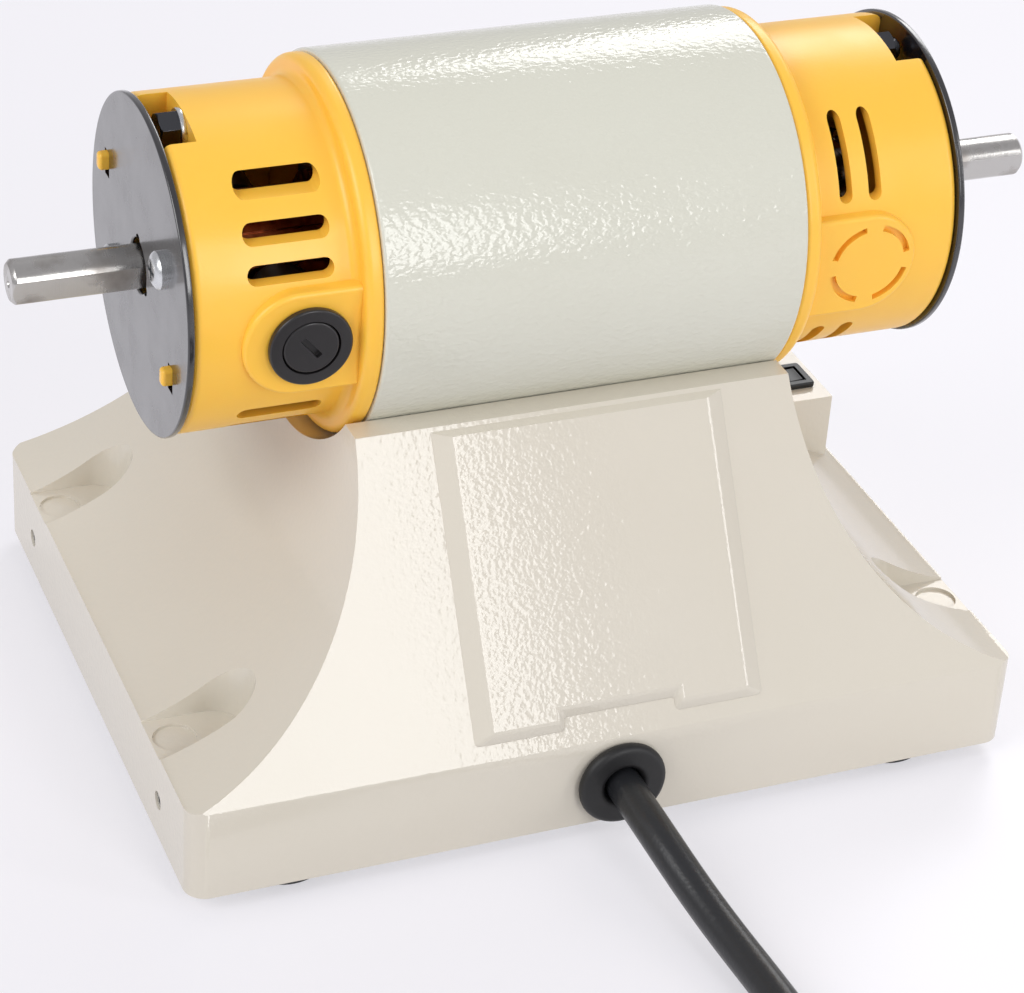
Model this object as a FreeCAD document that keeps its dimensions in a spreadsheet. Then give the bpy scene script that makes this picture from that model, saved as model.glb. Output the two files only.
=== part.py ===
import FreeCAD, Part
import math
import os
import Sketcher
from FreeCAD import Placement, Rotation, Vector

# Bench polishing lathe: a cast pedestal with a flared saddle carries a double-shaft motor.
# Frame: X along the shaft, +Y towards the side where the mains cord leaves, Z up from the
# surface that the feet stand on. The origin is the bottom centre of the machine's box.

doc = FreeCAD.newDocument("polishing_lathe")
sheet = doc.addObject("Spreadsheet::Sheet", "sizes")

SIZES = [
    # cast pedestal, heights measured from its lower rim
    ("base_width", 200.6), ("base_depth", 158), ("band_height", 22.5), ("base_corner", 5),
    ("axis_height", 113), ("saddle_top", 86.5), ("saddle_half_length", 52),
    ("flank_radius", 70), ("flank_land", 1), ("face_slope", 31), ("cast_wall", 4.5),
    ("core_inset_x", 56.3), ("core_inset_y", 37), ("core_roof", 61),
    ("panel_half_width", 34), ("panel_raise", 1.6), ("panel_foot", 25.5), ("panel_draft", 62),
    ("panel_step_half", 13.2), ("panel_step_rise", 2.6),
    ("pocket_width", 17.5), ("pocket_reach", 23.3), ("pocket_inset", 29), ("pocket_step", 0.5),
    ("disc_radius", 5.3), ("disc_depth", 0.5), ("disc_inset", 6.4),
    ("wire_hole_x", 35), ("wire_hole_radius", 5), ("mount_spacing", 40), ("mount_hole_radius", 3.1),
    ("mount_thread", 5.5), ("mount_head_radius", 5), ("mount_head_height", 6),
    # control console on the front corner of the casting
    ("console_inset", 2.5), ("console_length", 40), ("console_depth", 62), ("console_top", 40.5),
    ("console_roof", 3),
    # cord outlet
    ("outlet_height", 11.2), ("grommet_radius", 10.4), ("grommet_lip", 3.4), ("grommet_neck", 7.2),
    ("grommet_mouth", 5.3), ("grommet_back", 2.5), ("grommet_gap", 0.1), ("grommet_round", 1.5),
    ("cord_radius", 4.2), ("cord_bore_gap", 0.1),
    # bottom cover, feet and their screws
    ("cover_thickness", 1.5), ("cover_gap", 0.5), ("lug_width", 16), ("lug_height", 15),
    ("side_screw_radius", 2), ("side_screw_height", 10), ("side_screw_inset", 24),
    ("side_screw_length", 7), ("side_hole_gap", 0.2),
    ("side_screw_sink", 0.5), ("foot_radius", 11), ("foot_height", 4), ("foot_taper", 1.2),
    ("foot_neck", 3), ("foot_gap", 0.2), ("foot_lip", 3), ("foot_inset_x", 25.3),
    ("foot_inset_y", 13.5),
    # motor tube, measured from the middle of the base
    ("tube_radius", 43), ("tube_wall", 3), ("tube_length", 99), ("motor_offset", -2.75),
    ("saddle_gap", 0.25), ("motor_turn", 3.6),
    # yellow end caps
    ("cap_step", 5.6), ("cap_wall", 2.8), ("cap_length", 40.4), ("flange_step", 0.7),
    ("flange_width", 5), ("flange_round", 1.6), ("flange_fillet", 3.2), ("spigot_length", 6),
    ("spigot_gap", 0.1), ("end_wall", 3), ("bearing_boss_radius", 18.5), ("shaft_hole", 8),
    ("slot_height", 3.5), ("slot_length", 19), ("slot_first", 15.4), ("slot_pitch", 7.4),
    ("slot_inset", 9.75), ("slot_start", 12), ("tongue_raise", 1.2),
    ("tongue_half", 11.7), ("tongue_reach", 30.2),
    ("fan_slot_width", 3.2), ("fan_slot_near", 12.2), ("fan_slot_pitch", 7.3),
    ("fan_slot_low", 14.5), ("fan_slot_high", 31), ("fan_low_slot_top", 19.5),
    ("knockout_radius", 9.6), ("knockout_width", 1.5), ("knockout_depth", 1.6),
    ("knockout_inset", 18.6), ("knockout_tab", 26), ("notch_half", 11), ("notch_depth", 7.4), ("notch_drop", 5.2),
    ("notch_wall", 2.2), ("bearing_lip", 2), ("screw_gap", 0.1),
    # black end plates with their screws and locating pegs
    ("plate_overhang", 0.6), ("plate_thickness", 1.6), ("plate_hole", 6.2), ("scallop_radius", 1.5),
    ("plate_screw_circle", 21), ("plate_screw_angle", 25), ("plate_screw_radius", 2),
    ("plate_screw_head", 4.2), ("plate_screw_head_height", 2.6), ("plate_screw_length", 8),
    ("peg_inset", 9.1), ("peg_angle", 151), ("peg_width", 2.8), ("peg_height", 4.2),
    ("peg_stand", 2.2), ("peg_slot_extra", 1.8), ("peg_gap", 0.3), ("screw_dome", 2.6),
    # through bolts
    ("bolt_inset", 4.8), ("bolt_radius", 2.5), ("bolt_hole_gap", 0.3), ("bolt_hex", 8),
    ("bolt_head_height", 4.4), ("bolt_washer_radius", 4.8), ("bolt_washer_thickness", 1.2),
    ("bolt_boss_radius", 4.6),
    # spindle, armature and commutator
    ("shaft_radius", 5), ("shaft_left_reach", 30.35), ("shaft_right_reach", 36.35),
    ("shaft_core_radius", 6.5), ("shaft_flat", 0.8), ("flat_angle", -10),
    ("shaft_chamfer", 0.9), ("centre_drill", 1.3), ("retainer_width", 1.2),
    ("retainer_depth", 0.5),
    ("air_gap", 0.7), ("armature_margin", 43), ("armature_offset", -2),
    ("armature_slots", 12), ("armature_slot_width", 2.6), ("armature_slot_depth", 5),
    ("winding_inset", 1.7), ("winding_length", 12), ("commutator_radius", 14),
    ("winding_gap", 0.3), ("commutator_length", 23), ("commutator_riser", 16.5),
    ("riser_width", 3), ("commutator_overlap", 0.75),
    ("commutator_bars", 24), ("bar_gap_width", 0.6), ("bar_gap_depth", 1),
    # bearings
    ("bearing_width", 9), ("bearing_outer", 15), ("bearing_race", 12.4), ("bearing_inner_race", 7.6),
    ("race_depth", 0.9), ("cage_half", 2.6), ("cage_depth", 1.4), ("ball_count", 8),
    ("bearing_fit", 0.03),
    # cooling fan
    ("fan_inset", 10.2), ("fan_width", 11), ("fan_hub", 10), ("fan_blades", 9),
    ("fan_blade_thickness", 1.6), ("fan_disc", 1.8), ("fan_gap", 3),
    # stator and field coils
    ("stator_depth", 20), ("stator_gap", 0.1), ("pole_half_width", 10), ("pole_shoe_depth", 3),
    ("pole_shoe_angle", 52), ("yoke_depth", 7), ("coil_width", 7.2), ("coil_depth", 3),
    ("coil_gap", 0.4), ("coil_round", 2),
    # brush gear, on a level line through the commutator
    ("brush_inset", 15.65), ("holder_flange_radius", 9.3), ("holder_flange", 1.8),
    ("holder_radius", 7.2), ("holder_gap", 0.15), ("holder_reach", 16.5), ("brush_width", 6.4), ("brush_depth", 8),
    ("brush_length", 13), ("brush_side_gap", 0.25), ("brush_contact_gap", 0.1),
    ("brush_cap_radius", 6.3), ("brush_cap_depth", 5), ("brush_cap_gap", 0.25),
    ("coin_slot_width", 1.4), ("coin_slot_length", 7.5), ("coin_slot_depth", 1.2),
    ("spring_radius", 2.6), ("spring_wire", 0.7),
    # switch and speed control
    ("switch_inset_x", 12.4), ("switch_inset_y", 51.5), ("bezel_length", 15), ("bezel_width", 10.6),
    ("bezel_height", 1.6), ("switch_body_length", 12.8), ("switch_body_width", 8.6),
    ("switch_body_depth", 12), ("switch_hole_gap", 0.2), ("rocker_length", 10.4),
    ("rocker_width", 6), ("rocker_gap", 0.6), ("bezel_round", 1), ("well_depth", 7),
    ("rocker_pivot", -0.6), ("rocker_drop", 3), ("rocker_draw", 2), ("rocker_rise", 2.2),
    ("rocker_tilt", 0.9), ("rocker_dish", 12),
    ("knob_inset_x", 16.8), ("knob_inset_y", 26.5), ("knob_radius", 10.4), ("knob_height", 14),
    ("knob_skirt", 11.5), ("knob_skirt_height", 2.4), ("knob_gap", 0.6), ("knob_hollow", 3.2),
    ("flute_radius", 1.2), ("flute_count", 18), ("pot_shaft_radius", 3),
    ("pot_bush_radius", 4.5), ("pot_radius", 8.5), ("pot_depth", 9), ("pot_nut", 12),
    ("pot_nut_height", 2), ("pot_wall", 1.5), ("board_length", 50), ("board_width", 28), ("board_thickness", 1.6),
    ("board_x", -12), ("board_y", -10), ("board_height", 7), ("post_inset", 3.5),
    ("post_radius", 2.2), ("sink_height", 20), ("capacitor_radius", 6),
    ("capacitor_height", 16), ("terminal_height", 9),
    # mains lead: coil, plug and the clamp inside the housing
    ("cord_rest", 0.1), ("cord_inside", 9), ("coil_x", 52.7), ("coil_behind", 146),
    ("coil_mid", 46.2),
    ("coil_pitch", 9), ("coil_step", 8.9), ("coil_turns", 6.25), ("tail_run", 28), ("tail_end", 30),
    ("clamp_inset", 21),
    ("clamp_width", 8), ("clamp_wall", 2), ("clamp_foot", 16), ("plug_turn", -14),
    ("plug_length", 32), ("plug_width", 34), ("plug_nose", 26), ("plug_relief", 16),
    ("pin_length", 17), ("pin_width", 6.35), ("pin_thickness", 1.5), ("pin_spacing", 12.7),
    ("earth_pin_radius", 2.4), ("earth_pin_drop", 7.5), ("earth_pin_extra", 3),
]


class Size:
    """A number that remembers the sheet formula it was worked out from."""

    def __init__(self, value, text):
        self.value = float(value)
        self.text = text

    def __add__(self, other):
        return Size(self.value + number(other), "(%s + %s)" % (self.text, formula(other)))

    def __radd__(self, other):
        return Size(number(other) + self.value, "(%s + %s)" % (formula(other), self.text))

    def __sub__(self, other):
        return Size(self.value - number(other), "(%s - %s)" % (self.text, formula(other)))

    def __rsub__(self, other):
        return Size(number(other) - self.value, "(%s - %s)" % (formula(other), self.text))

    def __mul__(self, other):
        return Size(self.value * number(other), "(%s * %s)" % (self.text, formula(other)))

    def __rmul__(self, other):
        return Size(number(other) * self.value, "(%s * %s)" % (formula(other), self.text))

    def __truediv__(self, other):
        return Size(self.value / number(other), "(%s / %s)" % (self.text, formula(other)))

    def __neg__(self):
        return Size(-self.value, "(0 - %s)" % self.text)


def number(size):
    return size.value if isinstance(size, Size) else float(size)


def formula(size):
    return size.text if isinstance(size, Size) else "(%r)" % float(size)


def root(size):
    return Size(math.sqrt(number(size)), "sqrt(%s)" % formula(size))


def sine(degrees):
    return Size(math.sin(math.radians(number(degrees))), "sin(%s * 1deg)" % formula(degrees))


def cosine(degrees):
    return Size(math.cos(math.radians(number(degrees))), "cos(%s * 1deg)" % formula(degrees))


def tangent(degrees):
    return Size(math.tan(math.radians(number(degrees))), "tan(%s * 1deg)" % formula(degrees))


def leg(long_side, short_side):
    """Third side of a right triangle."""
    return root(long_side * long_side - short_side * short_side)


class Sizes:
    """Writes the driving dimensions to the sheet and hands them out by name."""

    def __init__(self, rows):
        for row, (alias, value) in enumerate(rows, start=1):
            sheet.set("A%d" % row, alias)
            sheet.set("B%d" % row, str(value))
            sheet.setAlias("B%d" % row, alias)
            setattr(self, alias, Size(value, "sizes." + alias))


S = Sizes(SIZES)
doc.recompute()


def bind(item, name, size):
    """Ties a property to the sheet, or sets it when the size is a plain number."""
    if isinstance(size, Size):
        item.setExpression(name, size.text)
    else:
        setattr(item, name, size)


# Body, sketch and feature helpers

NORMAL = {"XY": 1, "XZ": -1, "YZ": 1}
PARTS = []


def place(item, x, y, z):
    for axis, size in (("x", x), ("y", y), ("z", z)):
        if isinstance(size, Size):
            item.setExpression("Placement.Base." + axis, size.text)
    base = Vector(number(x), number(y), number(z))
    item.Placement = Placement(base, item.Placement.Rotation)


def new_body(label, x, y, z):
    body = doc.addObject("PartDesign::Body", label)
    body.Label = label
    place(body, x, y, z)
    PARTS.append(body)
    return body


def origin_feature(body, role):
    for feature in body.Origin.OriginFeatures:
        if feature.Role == role:
            return feature


def sketch(body, plane, at=0, tilt=None):
    """A sketch on an origin plane of the body, moved to the coordinate at, tilted about its X."""
    item = body.newObject("Sketcher::SketchObject", body.Label + "_sketch")
    item.AttachmentSupport = [(origin_feature(body, plane + "_Plane"), "")]
    item.MapMode = "FlatFace"
    item.addProperty("App::PropertyString", "PlaneName")
    item.PlaneName = plane
    lift = NORMAL[plane] * at
    turn = Rotation(Vector(1, 0, 0), number(tilt) if tilt is not None else 0)
    item.AttachmentOffset = Placement(Vector(0, 0, number(lift)), turn)
    if isinstance(lift, Size):
        item.setExpression("AttachmentOffset.Base.z", lift.text)
    if isinstance(tilt, Size):
        item.setExpression("AttachmentOffset.Rotation.Angle", tilt.text)
    return item


def hold(item, kind, geometry, point, size):
    """Fixes one coordinate of a sketch point, or a radius when point is None."""
    if point is None:
        index = item.addConstraint(Sketcher.Constraint(kind, geometry, number(size)))
    else:
        index = item.addConstraint(Sketcher.Constraint(kind, -1, 1, geometry, point, number(size)))
    if isinstance(size, Size):
        name = "d%d" % index
        item.renameConstraint(index, name)
        item.setExpression("Constraints." + name, size.text)


def arc_between(start, end, radius):
    """Arc of under half a turn; a positive radius turns left from start to end."""
    chord = end - start
    middle = (start + end) * 0.5
    left = Vector(-chord.y, chord.x, 0).normalize()
    rise = math.sqrt(max(radius * radius - chord.Length * chord.Length / 4.0, 0.0))
    centre = middle + left * (rise if radius > 0 else -rise)
    first, last = (start, end) if radius > 0 else (end, start)
    a0 = math.atan2(first.y - centre.y, first.x - centre.x)
    a1 = math.atan2(last.y - centre.y, last.x - centre.x)
    if a1 < a0:
        a1 += 2 * math.pi
    circle = Part.Circle(centre, Vector(0, 0, 1), abs(radius))
    return Part.ArcOfCircle(circle, a0, a1)


def outline(item, corners):
    """Closed profile through (across, up) corners; a third entry makes the side that arrives
    at the corner an arc of that radius, positive for a left turn."""
    edges = []
    for before, corner in zip([corners[-1]] + corners[:-1], corners):
        start = Vector(number(before[0]), number(before[1]), 0)
        end = Vector(number(corner[0]), number(corner[1]), 0)
        if len(corner) == 2:
            index = item.addGeometry(Part.LineSegment(start, end))
            edges.append((index, 1, 2))
            continue
        index = item.addGeometry(arc_between(start, end, number(corner[2])))
        edges.append((index, 1, 2) if number(corner[2]) > 0 else (index, 2, 1))
    for (index, _, last), (following, first, _) in zip(edges, edges[1:] + edges[:1]):
        item.addConstraint(Sketcher.Constraint("Coincident", index, last, following, first))
    for (index, _, last), corner in zip(edges, corners):
        hold(item, "DistanceX", index, last, corner[0])
        hold(item, "DistanceY", index, last, corner[1])
        if len(corner) == 3:
            radius = corner[2] if number(corner[2]) > 0 else -corner[2]
            hold(item, "Radius", index, None, radius)
    return item


def circle(item, across, up, radius):
    shape = Part.Circle(Vector(number(across), number(up), 0), Vector(0, 0, 1), number(radius))
    index = item.addGeometry(shape)
    hold(item, "DistanceX", index, 3, across)
    hold(item, "DistanceY", index, 3, up)
    hold(item, "Radius", index, None, radius)
    return item


def rectangle(item, left, right, low, high, corner=None):
    """Rectangle, with quarter-circle corners when a corner radius is given."""
    if corner is None:
        return outline(item, [(left, low), (right, low), (right, high), (left, high)])
    return outline(item, [
        (left + corner, low), (right - corner, low), (right, low + corner, corner),
        (right, high - corner), (right - corner, high, corner),
        (left + corner, high), (left, high - corner, corner),
        (left, low + corner), (left + corner, low, corner)][1:])


def slot_outline(item, left, right, low, high):
    """Slot with round ends: the ends are on the longer axis."""
    if number(right - left) >= number(high - low):
        radius = (high - low) / 2
        return outline(item, [
            (right - radius, low), (right, low + radius, radius), (right - radius, high, radius),
            (left + radius, high), (left, low + radius, radius), (left + radius, low, radius)])
    radius = (right - left) / 2
    return outline(item, [
        (right, high - radius), (left + radius, high, radius), (left, high - radius, radius),
        (left, low + radius), (left + radius, low, radius), (right, low + radius, radius)])


def feature(body, kind, item):
    made = body.newObject("PartDesign::" + kind, "%s_%s" % (body.Label, kind.lower()))
    made.Profile = item
    item.Visibility = False
    return made


def pad(body, item, length, toward=1, both=False, taper=None):
    made = feature(body, "Pad", item)
    bind(made, "Length", length)
    if both:
        made.SideType = "Symmetric"
    else:
        made.Reversed = toward != NORMAL[item.PlaneName]
    if taper is not None:
        bind(made, "TaperAngle", taper)
    return made


def cut(body, item, length=None, toward=1, both=False):
    """Pocket of a length, or through everything when no length is given."""
    made = feature(body, "Pocket", item)
    if length is None:
        made.Type = "ThroughAll"
    else:
        bind(made, "Length", length)
    if both:
        made.SideType = "Symmetric"
    else:
        made.Reversed = toward == NORMAL[item.PlaneName]
    return made


def turn(body, item, axis="H_Axis"):
    made = feature(body, "Revolution", item)
    made.ReferenceAxis = (item, [axis])
    made.Angle = 360
    return made


def groove(body, item, axis="H_Axis"):
    made = feature(body, "Groove", item)
    made.ReferenceAxis = (item, [axis])
    made.Angle = 360
    return made


def ring_of(body, originals, axis, count):
    """Polar pattern of features about an origin axis of the body."""
    made = body.newObject("PartDesign::PolarPattern", body.Label + "_ring")
    made.Originals = originals
    made.Axis = (origin_feature(body, axis + "_Axis"), [""])
    made.Angle = 360
    bind(made, "Occurrences", count)
    body.Tip = made
    return made


def dress(body, kind, size, wanted):
    """Fillet or chamfer on the edges of the body so far that wanted(edge) accepts."""
    doc.recompute()
    tip = body.Tip
    names = ["Edge%d" % (i + 1) for i, edge in enumerate(tip.Shape.Edges) if wanted(edge)]
    if not names:
        raise RuntimeError("no edges to %s on %s" % (kind, body.Label))
    made = body.newObject("PartDesign::" + kind, "%s_%s" % (body.Label, kind.lower()))
    made.Base = (tip, names)
    bind(made, "Radius" if kind == "Fillet" else "Size", size)
    return made


def middle(edge):
    return edge.valueAt((edge.FirstParameter + edge.LastParameter) / 2.0)


def near(a, b, slack=0.01):
    return abs(number(a) - number(b)) < slack


# Places shared by many pieces, all from the sheet

TUBE_HIGH = S.motor_offset + S.tube_length / 2
TUBE_LOW = S.motor_offset - S.tube_length / 2
SHAFT_LEFT = TUBE_HIGH + S.cap_length + S.shaft_left_reach
SHAFT_RIGHT = TUBE_LOW - S.cap_length - S.shaft_right_reach
SHIFT_X = -(SHAFT_LEFT + SHAFT_RIGHT) / 2
FLOOR = S.foot_height
AXIS_Z = FLOOR + S.axis_height
HALF_WIDTH = S.base_width / 2
HALF_DEPTH = S.base_depth / 2
SADDLE_RADIUS = S.tube_radius + S.saddle_gap
FACE_RUN = tangent(S.face_slope) * (S.saddle_top - S.band_height)
FLANK_X = S.saddle_half_length + S.flank_radius
FLANK_Z = S.band_height + leg(S.flank_radius, FLANK_X - (HALF_WIDTH - S.flank_land))
SADDLE_EDGE = FLANK_X - leg(S.flank_radius, FLANK_Z - S.saddle_top)
FLANGE_RADIUS = S.tube_radius - S.flange_step
CAP_RADIUS = S.tube_radius - S.cap_step
TONGUE_FACE = CAP_RADIUS + S.tongue_raise
PLATE_RADIUS = CAP_RADIUS + S.plate_overhang
BOLT_CIRCLE = CAP_RADIUS - S.bolt_inset
NOTCH_FLOOR = BOLT_CIRCLE - S.notch_drop
PEG_CIRCLE = CAP_RADIUS - S.peg_inset
STATOR_BORE = S.tube_radius - S.stator_depth
ARMATURE_RADIUS = STATOR_BORE - S.air_gap
ARMATURE_LENGTH = S.tube_length - S.armature_margin
WINDING_RADIUS = ARMATURE_RADIUS - S.winding_inset
FAN_RADIUS = CAP_RADIUS - S.fan_inset
BRUSH_LINE = TUBE_HIGH + S.brush_inset
COMMUTATOR_START = TUBE_HIGH - S.commutator_overlap
CONSOLE_X0 = -HALF_WIDTH + S.console_inset
CONSOLE_X1 = CONSOLE_X0 + S.console_length
SWITCH_X = -HALF_WIDTH + S.switch_inset_x
SWITCH_Y = -HALF_DEPTH + S.switch_inset_y
KNOB_X = -HALF_WIDTH + S.knob_inset_x
KNOB_Y = -HALF_DEPTH + S.knob_inset_y
POCKET_TIP = HALF_WIDTH - S.pocket_reach
POCKET_Y = HALF_DEPTH - S.pocket_inset
SIDE_SCREW_Y = HALF_DEPTH - S.side_screw_inset
FOOT_X = HALF_WIDTH - S.foot_inset_x
FOOT_Y = HALF_DEPTH - S.foot_inset_y
CORE_X = HALF_WIDTH - S.core_inset_x
CORE_Y = HALF_DEPTH - S.core_inset_y
CONSOLE_Y1 = -HALF_DEPTH + S.console_depth
CAVITY_X = HALF_WIDTH - S.cast_wall
CAVITY_Y = HALF_DEPTH - S.cast_wall
CAVITY_ROOF = S.band_height - S.pocket_step - S.cast_wall


def pedestal_casting():
    """Flared saddle casting: front profile padded through, then the two faces sloped off."""
    body = new_body("pedestal_casting", SHIFT_X, 0, FLOOR)
    front = sketch(body, "XZ")
    outline(front, [
        (HALF_WIDTH, 0), (HALF_WIDTH, S.band_height), (HALF_WIDTH - S.flank_land, S.band_height),
        (SADDLE_EDGE, S.saddle_top, -S.flank_radius), (-SADDLE_EDGE, S.saddle_top),
        (-(HALF_WIDTH - S.flank_land), S.band_height, -S.flank_radius),
        (-HALF_WIDTH, S.band_height), (-HALF_WIDTH, 0)])
    pad(body, front, S.base_depth, both=True)
    for side in (1, -1):
        slope = sketch(body, "YZ")
        corners = [
            (side * HALF_DEPTH, S.band_height), (side * (HALF_DEPTH + 5), S.band_height),
            (side * (HALF_DEPTH + 5), S.saddle_top + 5),
            (side * (HALF_DEPTH - FACE_RUN - tangent(S.face_slope) * 5), S.saddle_top + 5)]
        outline(slope, corners)
        cut(body, slope, both=True)
    console_block(body)
    rear_panel(body)
    trough = sketch(body, "YZ")
    circle(trough, 0, S.axis_height, SADDLE_RADIUS)
    cut(body, trough, both=True)
    corner_pockets(body)
    round_casting(body)
    hollow_casting(body)
    casting_holes(body)
    return body


def console_block(body):
    block = sketch(body, "XY")
    rectangle(block, CONSOLE_X0, CONSOLE_X1, -HALF_DEPTH, CONSOLE_Y1)
    pad(body, block, S.console_top)


def rear_panel(body):
    """Raised pad on the sloping rear face, with its foot stepped up over the cord outlet."""
    face = sketch(body, "XZ", at=HALF_DEPTH, tilt=S.face_slope)
    face.setExpression("AttachmentOffset.Base.y", S.band_height.text)
    foot = (S.panel_foot - S.band_height) / cosine(S.face_slope)
    stop = (S.saddle_top - S.band_height) / cosine(S.face_slope) + 6
    step = S.panel_step_rise / cosine(S.face_slope)
    outline(face, [
        (S.panel_half_width, foot), (S.panel_half_width, stop), (-S.panel_half_width, stop),
        (-S.panel_half_width, foot), (-S.panel_step_half, foot),
        (-S.panel_step_half, foot + step), (S.panel_step_half, foot + step),
        (S.panel_step_half, foot)])
    pad(body, face, S.panel_raise, toward=1, taper=-S.panel_draft)
    top = sketch(body, "XY", at=S.saddle_top)
    rectangle(top, -S.panel_half_width - 8, S.panel_half_width + 8, 0, HALF_DEPTH)
    cut(body, top, S.saddle_top, toward=1)


def corner_pockets(body):
    """Open slots in the flanks down to the band, with a shallow round mark in each floor."""
    half = S.pocket_width / 2
    floor = S.band_height - S.pocket_step
    for side_x, side_y in ((1, 1), (1, -1), (-1, 1)):
        line = side_y * POCKET_Y
        tip = side_x * POCKET_TIP
        inner = side_x * (POCKET_TIP + half)
        outer = side_x * (HALF_WIDTH + 2)
        radius = half * side_x * -1
        pocket = sketch(body, "XY", at=floor)
        outline(pocket, [
            (outer, line + half), (inner, line + half), (tip, line, -radius),
            (inner, line - half, -radius), (outer, line - half)])
        cut(body, pocket, toward=1)
        disc = sketch(body, "XY", at=floor)
        circle(disc, side_x * (HALF_WIDTH - S.disc_inset), line, S.disc_radius)
        cut(body, disc, S.disc_depth, toward=-1)


def round_casting(body):
    """Rounded upright corners of the base and console."""
    item = sketch(body, "XY")
    for side_x, side_y in ((1, 1), (-1, 1), (-1, -1), (1, -1)):
        x = side_x * HALF_WIDTH
        y = side_y * HALF_DEPTH
        inner_x = side_x * (HALF_WIDTH - S.base_corner)
        inner_y = side_y * (HALF_DEPTH - S.base_corner)
        far_x = side_x * (HALF_WIDTH + 3)
        far_y = side_y * (HALF_DEPTH + 3)
        outline(item, [(inner_x, y), (x, inner_y, -side_x * side_y * S.base_corner),
                       (far_x, inner_y), (far_x, far_y), (inner_x, far_y)])
    cut(body, item, toward=1)


def hollow_casting(body):
    """Open underside: a low cavity under the band, the core and the console."""
    low = sketch(body, "XY")
    rectangle(low, -CAVITY_X, CAVITY_X, -CAVITY_Y, CAVITY_Y, S.base_corner)
    cut(body, low, CAVITY_ROOF, toward=1)
    core = sketch(body, "XY")
    rectangle(core, -CORE_X, CORE_X, -CORE_Y,
              CORE_Y, S.base_corner)
    cut(body, core, S.core_roof, toward=1)
    console = sketch(body, "XY")
    rectangle(console, CONSOLE_X0 + S.console_roof, CONSOLE_X1 - S.console_roof,
              -CAVITY_Y, CONSOLE_Y1 - S.console_roof, S.base_corner)
    cut(body, console, S.console_top - S.console_roof, toward=1)


def casting_holes(body):
    outlet = sketch(body, "XZ")
    circle(outlet, 0, S.outlet_height, S.grommet_neck + S.side_hole_gap)
    cut(body, outlet, toward=1)
    tunnel = sketch(body, "XZ", at=CAVITY_Y)
    circle(tunnel, 0, S.outlet_height, S.grommet_radius)
    cut(body, tunnel, CAVITY_Y - CORE_Y + 1, toward=-1)
    sides = sketch(body, "YZ")
    for side in (1, -1):
        circle(sides, side * SIDE_SCREW_Y, S.side_screw_height,
               S.side_screw_radius + S.side_hole_gap)
    cut(body, sides, both=True)
    saddle = sketch(body, "XY")
    circle(saddle, S.wire_hole_x, 0, S.wire_hole_radius)
    for side in (1, -1):
        circle(saddle, S.motor_offset + side * S.mount_spacing / 2, 0, S.mount_hole_radius)
    cut(body, saddle, toward=1)
    top = sketch(body, "XY", at=S.console_top)
    half = S.switch_body_length / 2 + S.switch_hole_gap
    wide = S.switch_body_width / 2 + S.switch_hole_gap
    rectangle(top, SWITCH_X - half, SWITCH_X + half, SWITCH_Y - wide, SWITCH_Y + wide)
    circle(top, KNOB_X, KNOB_Y, S.pot_bush_radius + S.switch_hole_gap)
    cut(body, top, S.console_roof + 1, toward=-1)


# Under the casting: cover, feet and their fixings

def bottom_cover():
    """Steel plate inside the walls with a folded lug behind each side screw."""
    body = new_body("bottom_cover", SHIFT_X, 0, FLOOR)
    half_x = CAVITY_X - S.cover_gap
    half_y = CAVITY_Y - S.cover_gap
    plate = sketch(body, "XY")
    rectangle(plate, -half_x, half_x, -half_y, half_y, S.base_corner)
    pad(body, plate, S.cover_thickness)
    for side_x in (1, -1):
        for side_y in (1, -1):
            middle_y = side_y * SIDE_SCREW_Y
            lug = sketch(body, "XY")
            rectangle(lug, *ordered(side_x * half_x, side_x * (half_x - S.cover_thickness)),
                      middle_y - S.lug_width / 2, middle_y + S.lug_width / 2)
            pad(body, lug, S.lug_height)
    holes = sketch(body, "YZ")
    for side in (1, -1):
        circle(holes, side * SIDE_SCREW_Y, S.side_screw_height,
               S.side_screw_radius + S.side_hole_gap / 2)
    cut(body, holes, both=True)
    feet = sketch(body, "XY")
    for side_x in (1, -1):
        for side_y in (1, -1):
            circle(feet, side_x * FOOT_X, side_y * FOOT_Y,
                   S.foot_neck + S.foot_gap)
    cut(body, feet, toward=1)
    for side_x in (1, -1):
        for side_y in (1, -1):
            post = sketch(body, "XY")
            circle(post, S.board_x + side_x * (S.board_length / 2 - S.post_inset),
                   S.board_y + side_y * (S.board_width / 2 - S.post_inset), S.post_radius)
            pad(body, post, S.board_height)
    return body


def ordered(first, second):
    return (first, second) if number(first) < number(second) else (second, first)


def side_screws():
    """Headless screws through the side walls into the cover's lugs."""
    for side_x in (1, -1):
        for side_y in (1, -1):
            name = "cover_screw_%s_%s" % ("left" if side_x > 0 else "right",
                                          "rear" if side_y > 0 else "front")
            body = new_body(name, SHIFT_X + side_x * (HALF_WIDTH - S.side_screw_sink),
                            side_y * SIDE_SCREW_Y, FLOOR + S.side_screw_height)
            item = sketch(body, "YZ")
            circle(item, 0, 0, S.side_screw_radius)
            pad(body, item, S.side_screw_length, toward=-side_x)
            socket = sketch(body, "YZ")
            hexagon(socket, S.side_screw_radius)
            cut(body, socket, S.side_screw_radius, toward=-side_x)


def hexagon(item, across_flats):
    """Hexagon with two flats level, centred on the sketch's origin."""
    half = across_flats / 2
    point = across_flats / root(Size(3, "3"))
    outline(item, [(point, 0), (point / 2, half), (-point / 2, half),
                   (-point, 0), (-point / 2, -half), (point / 2, -half)])


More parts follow.
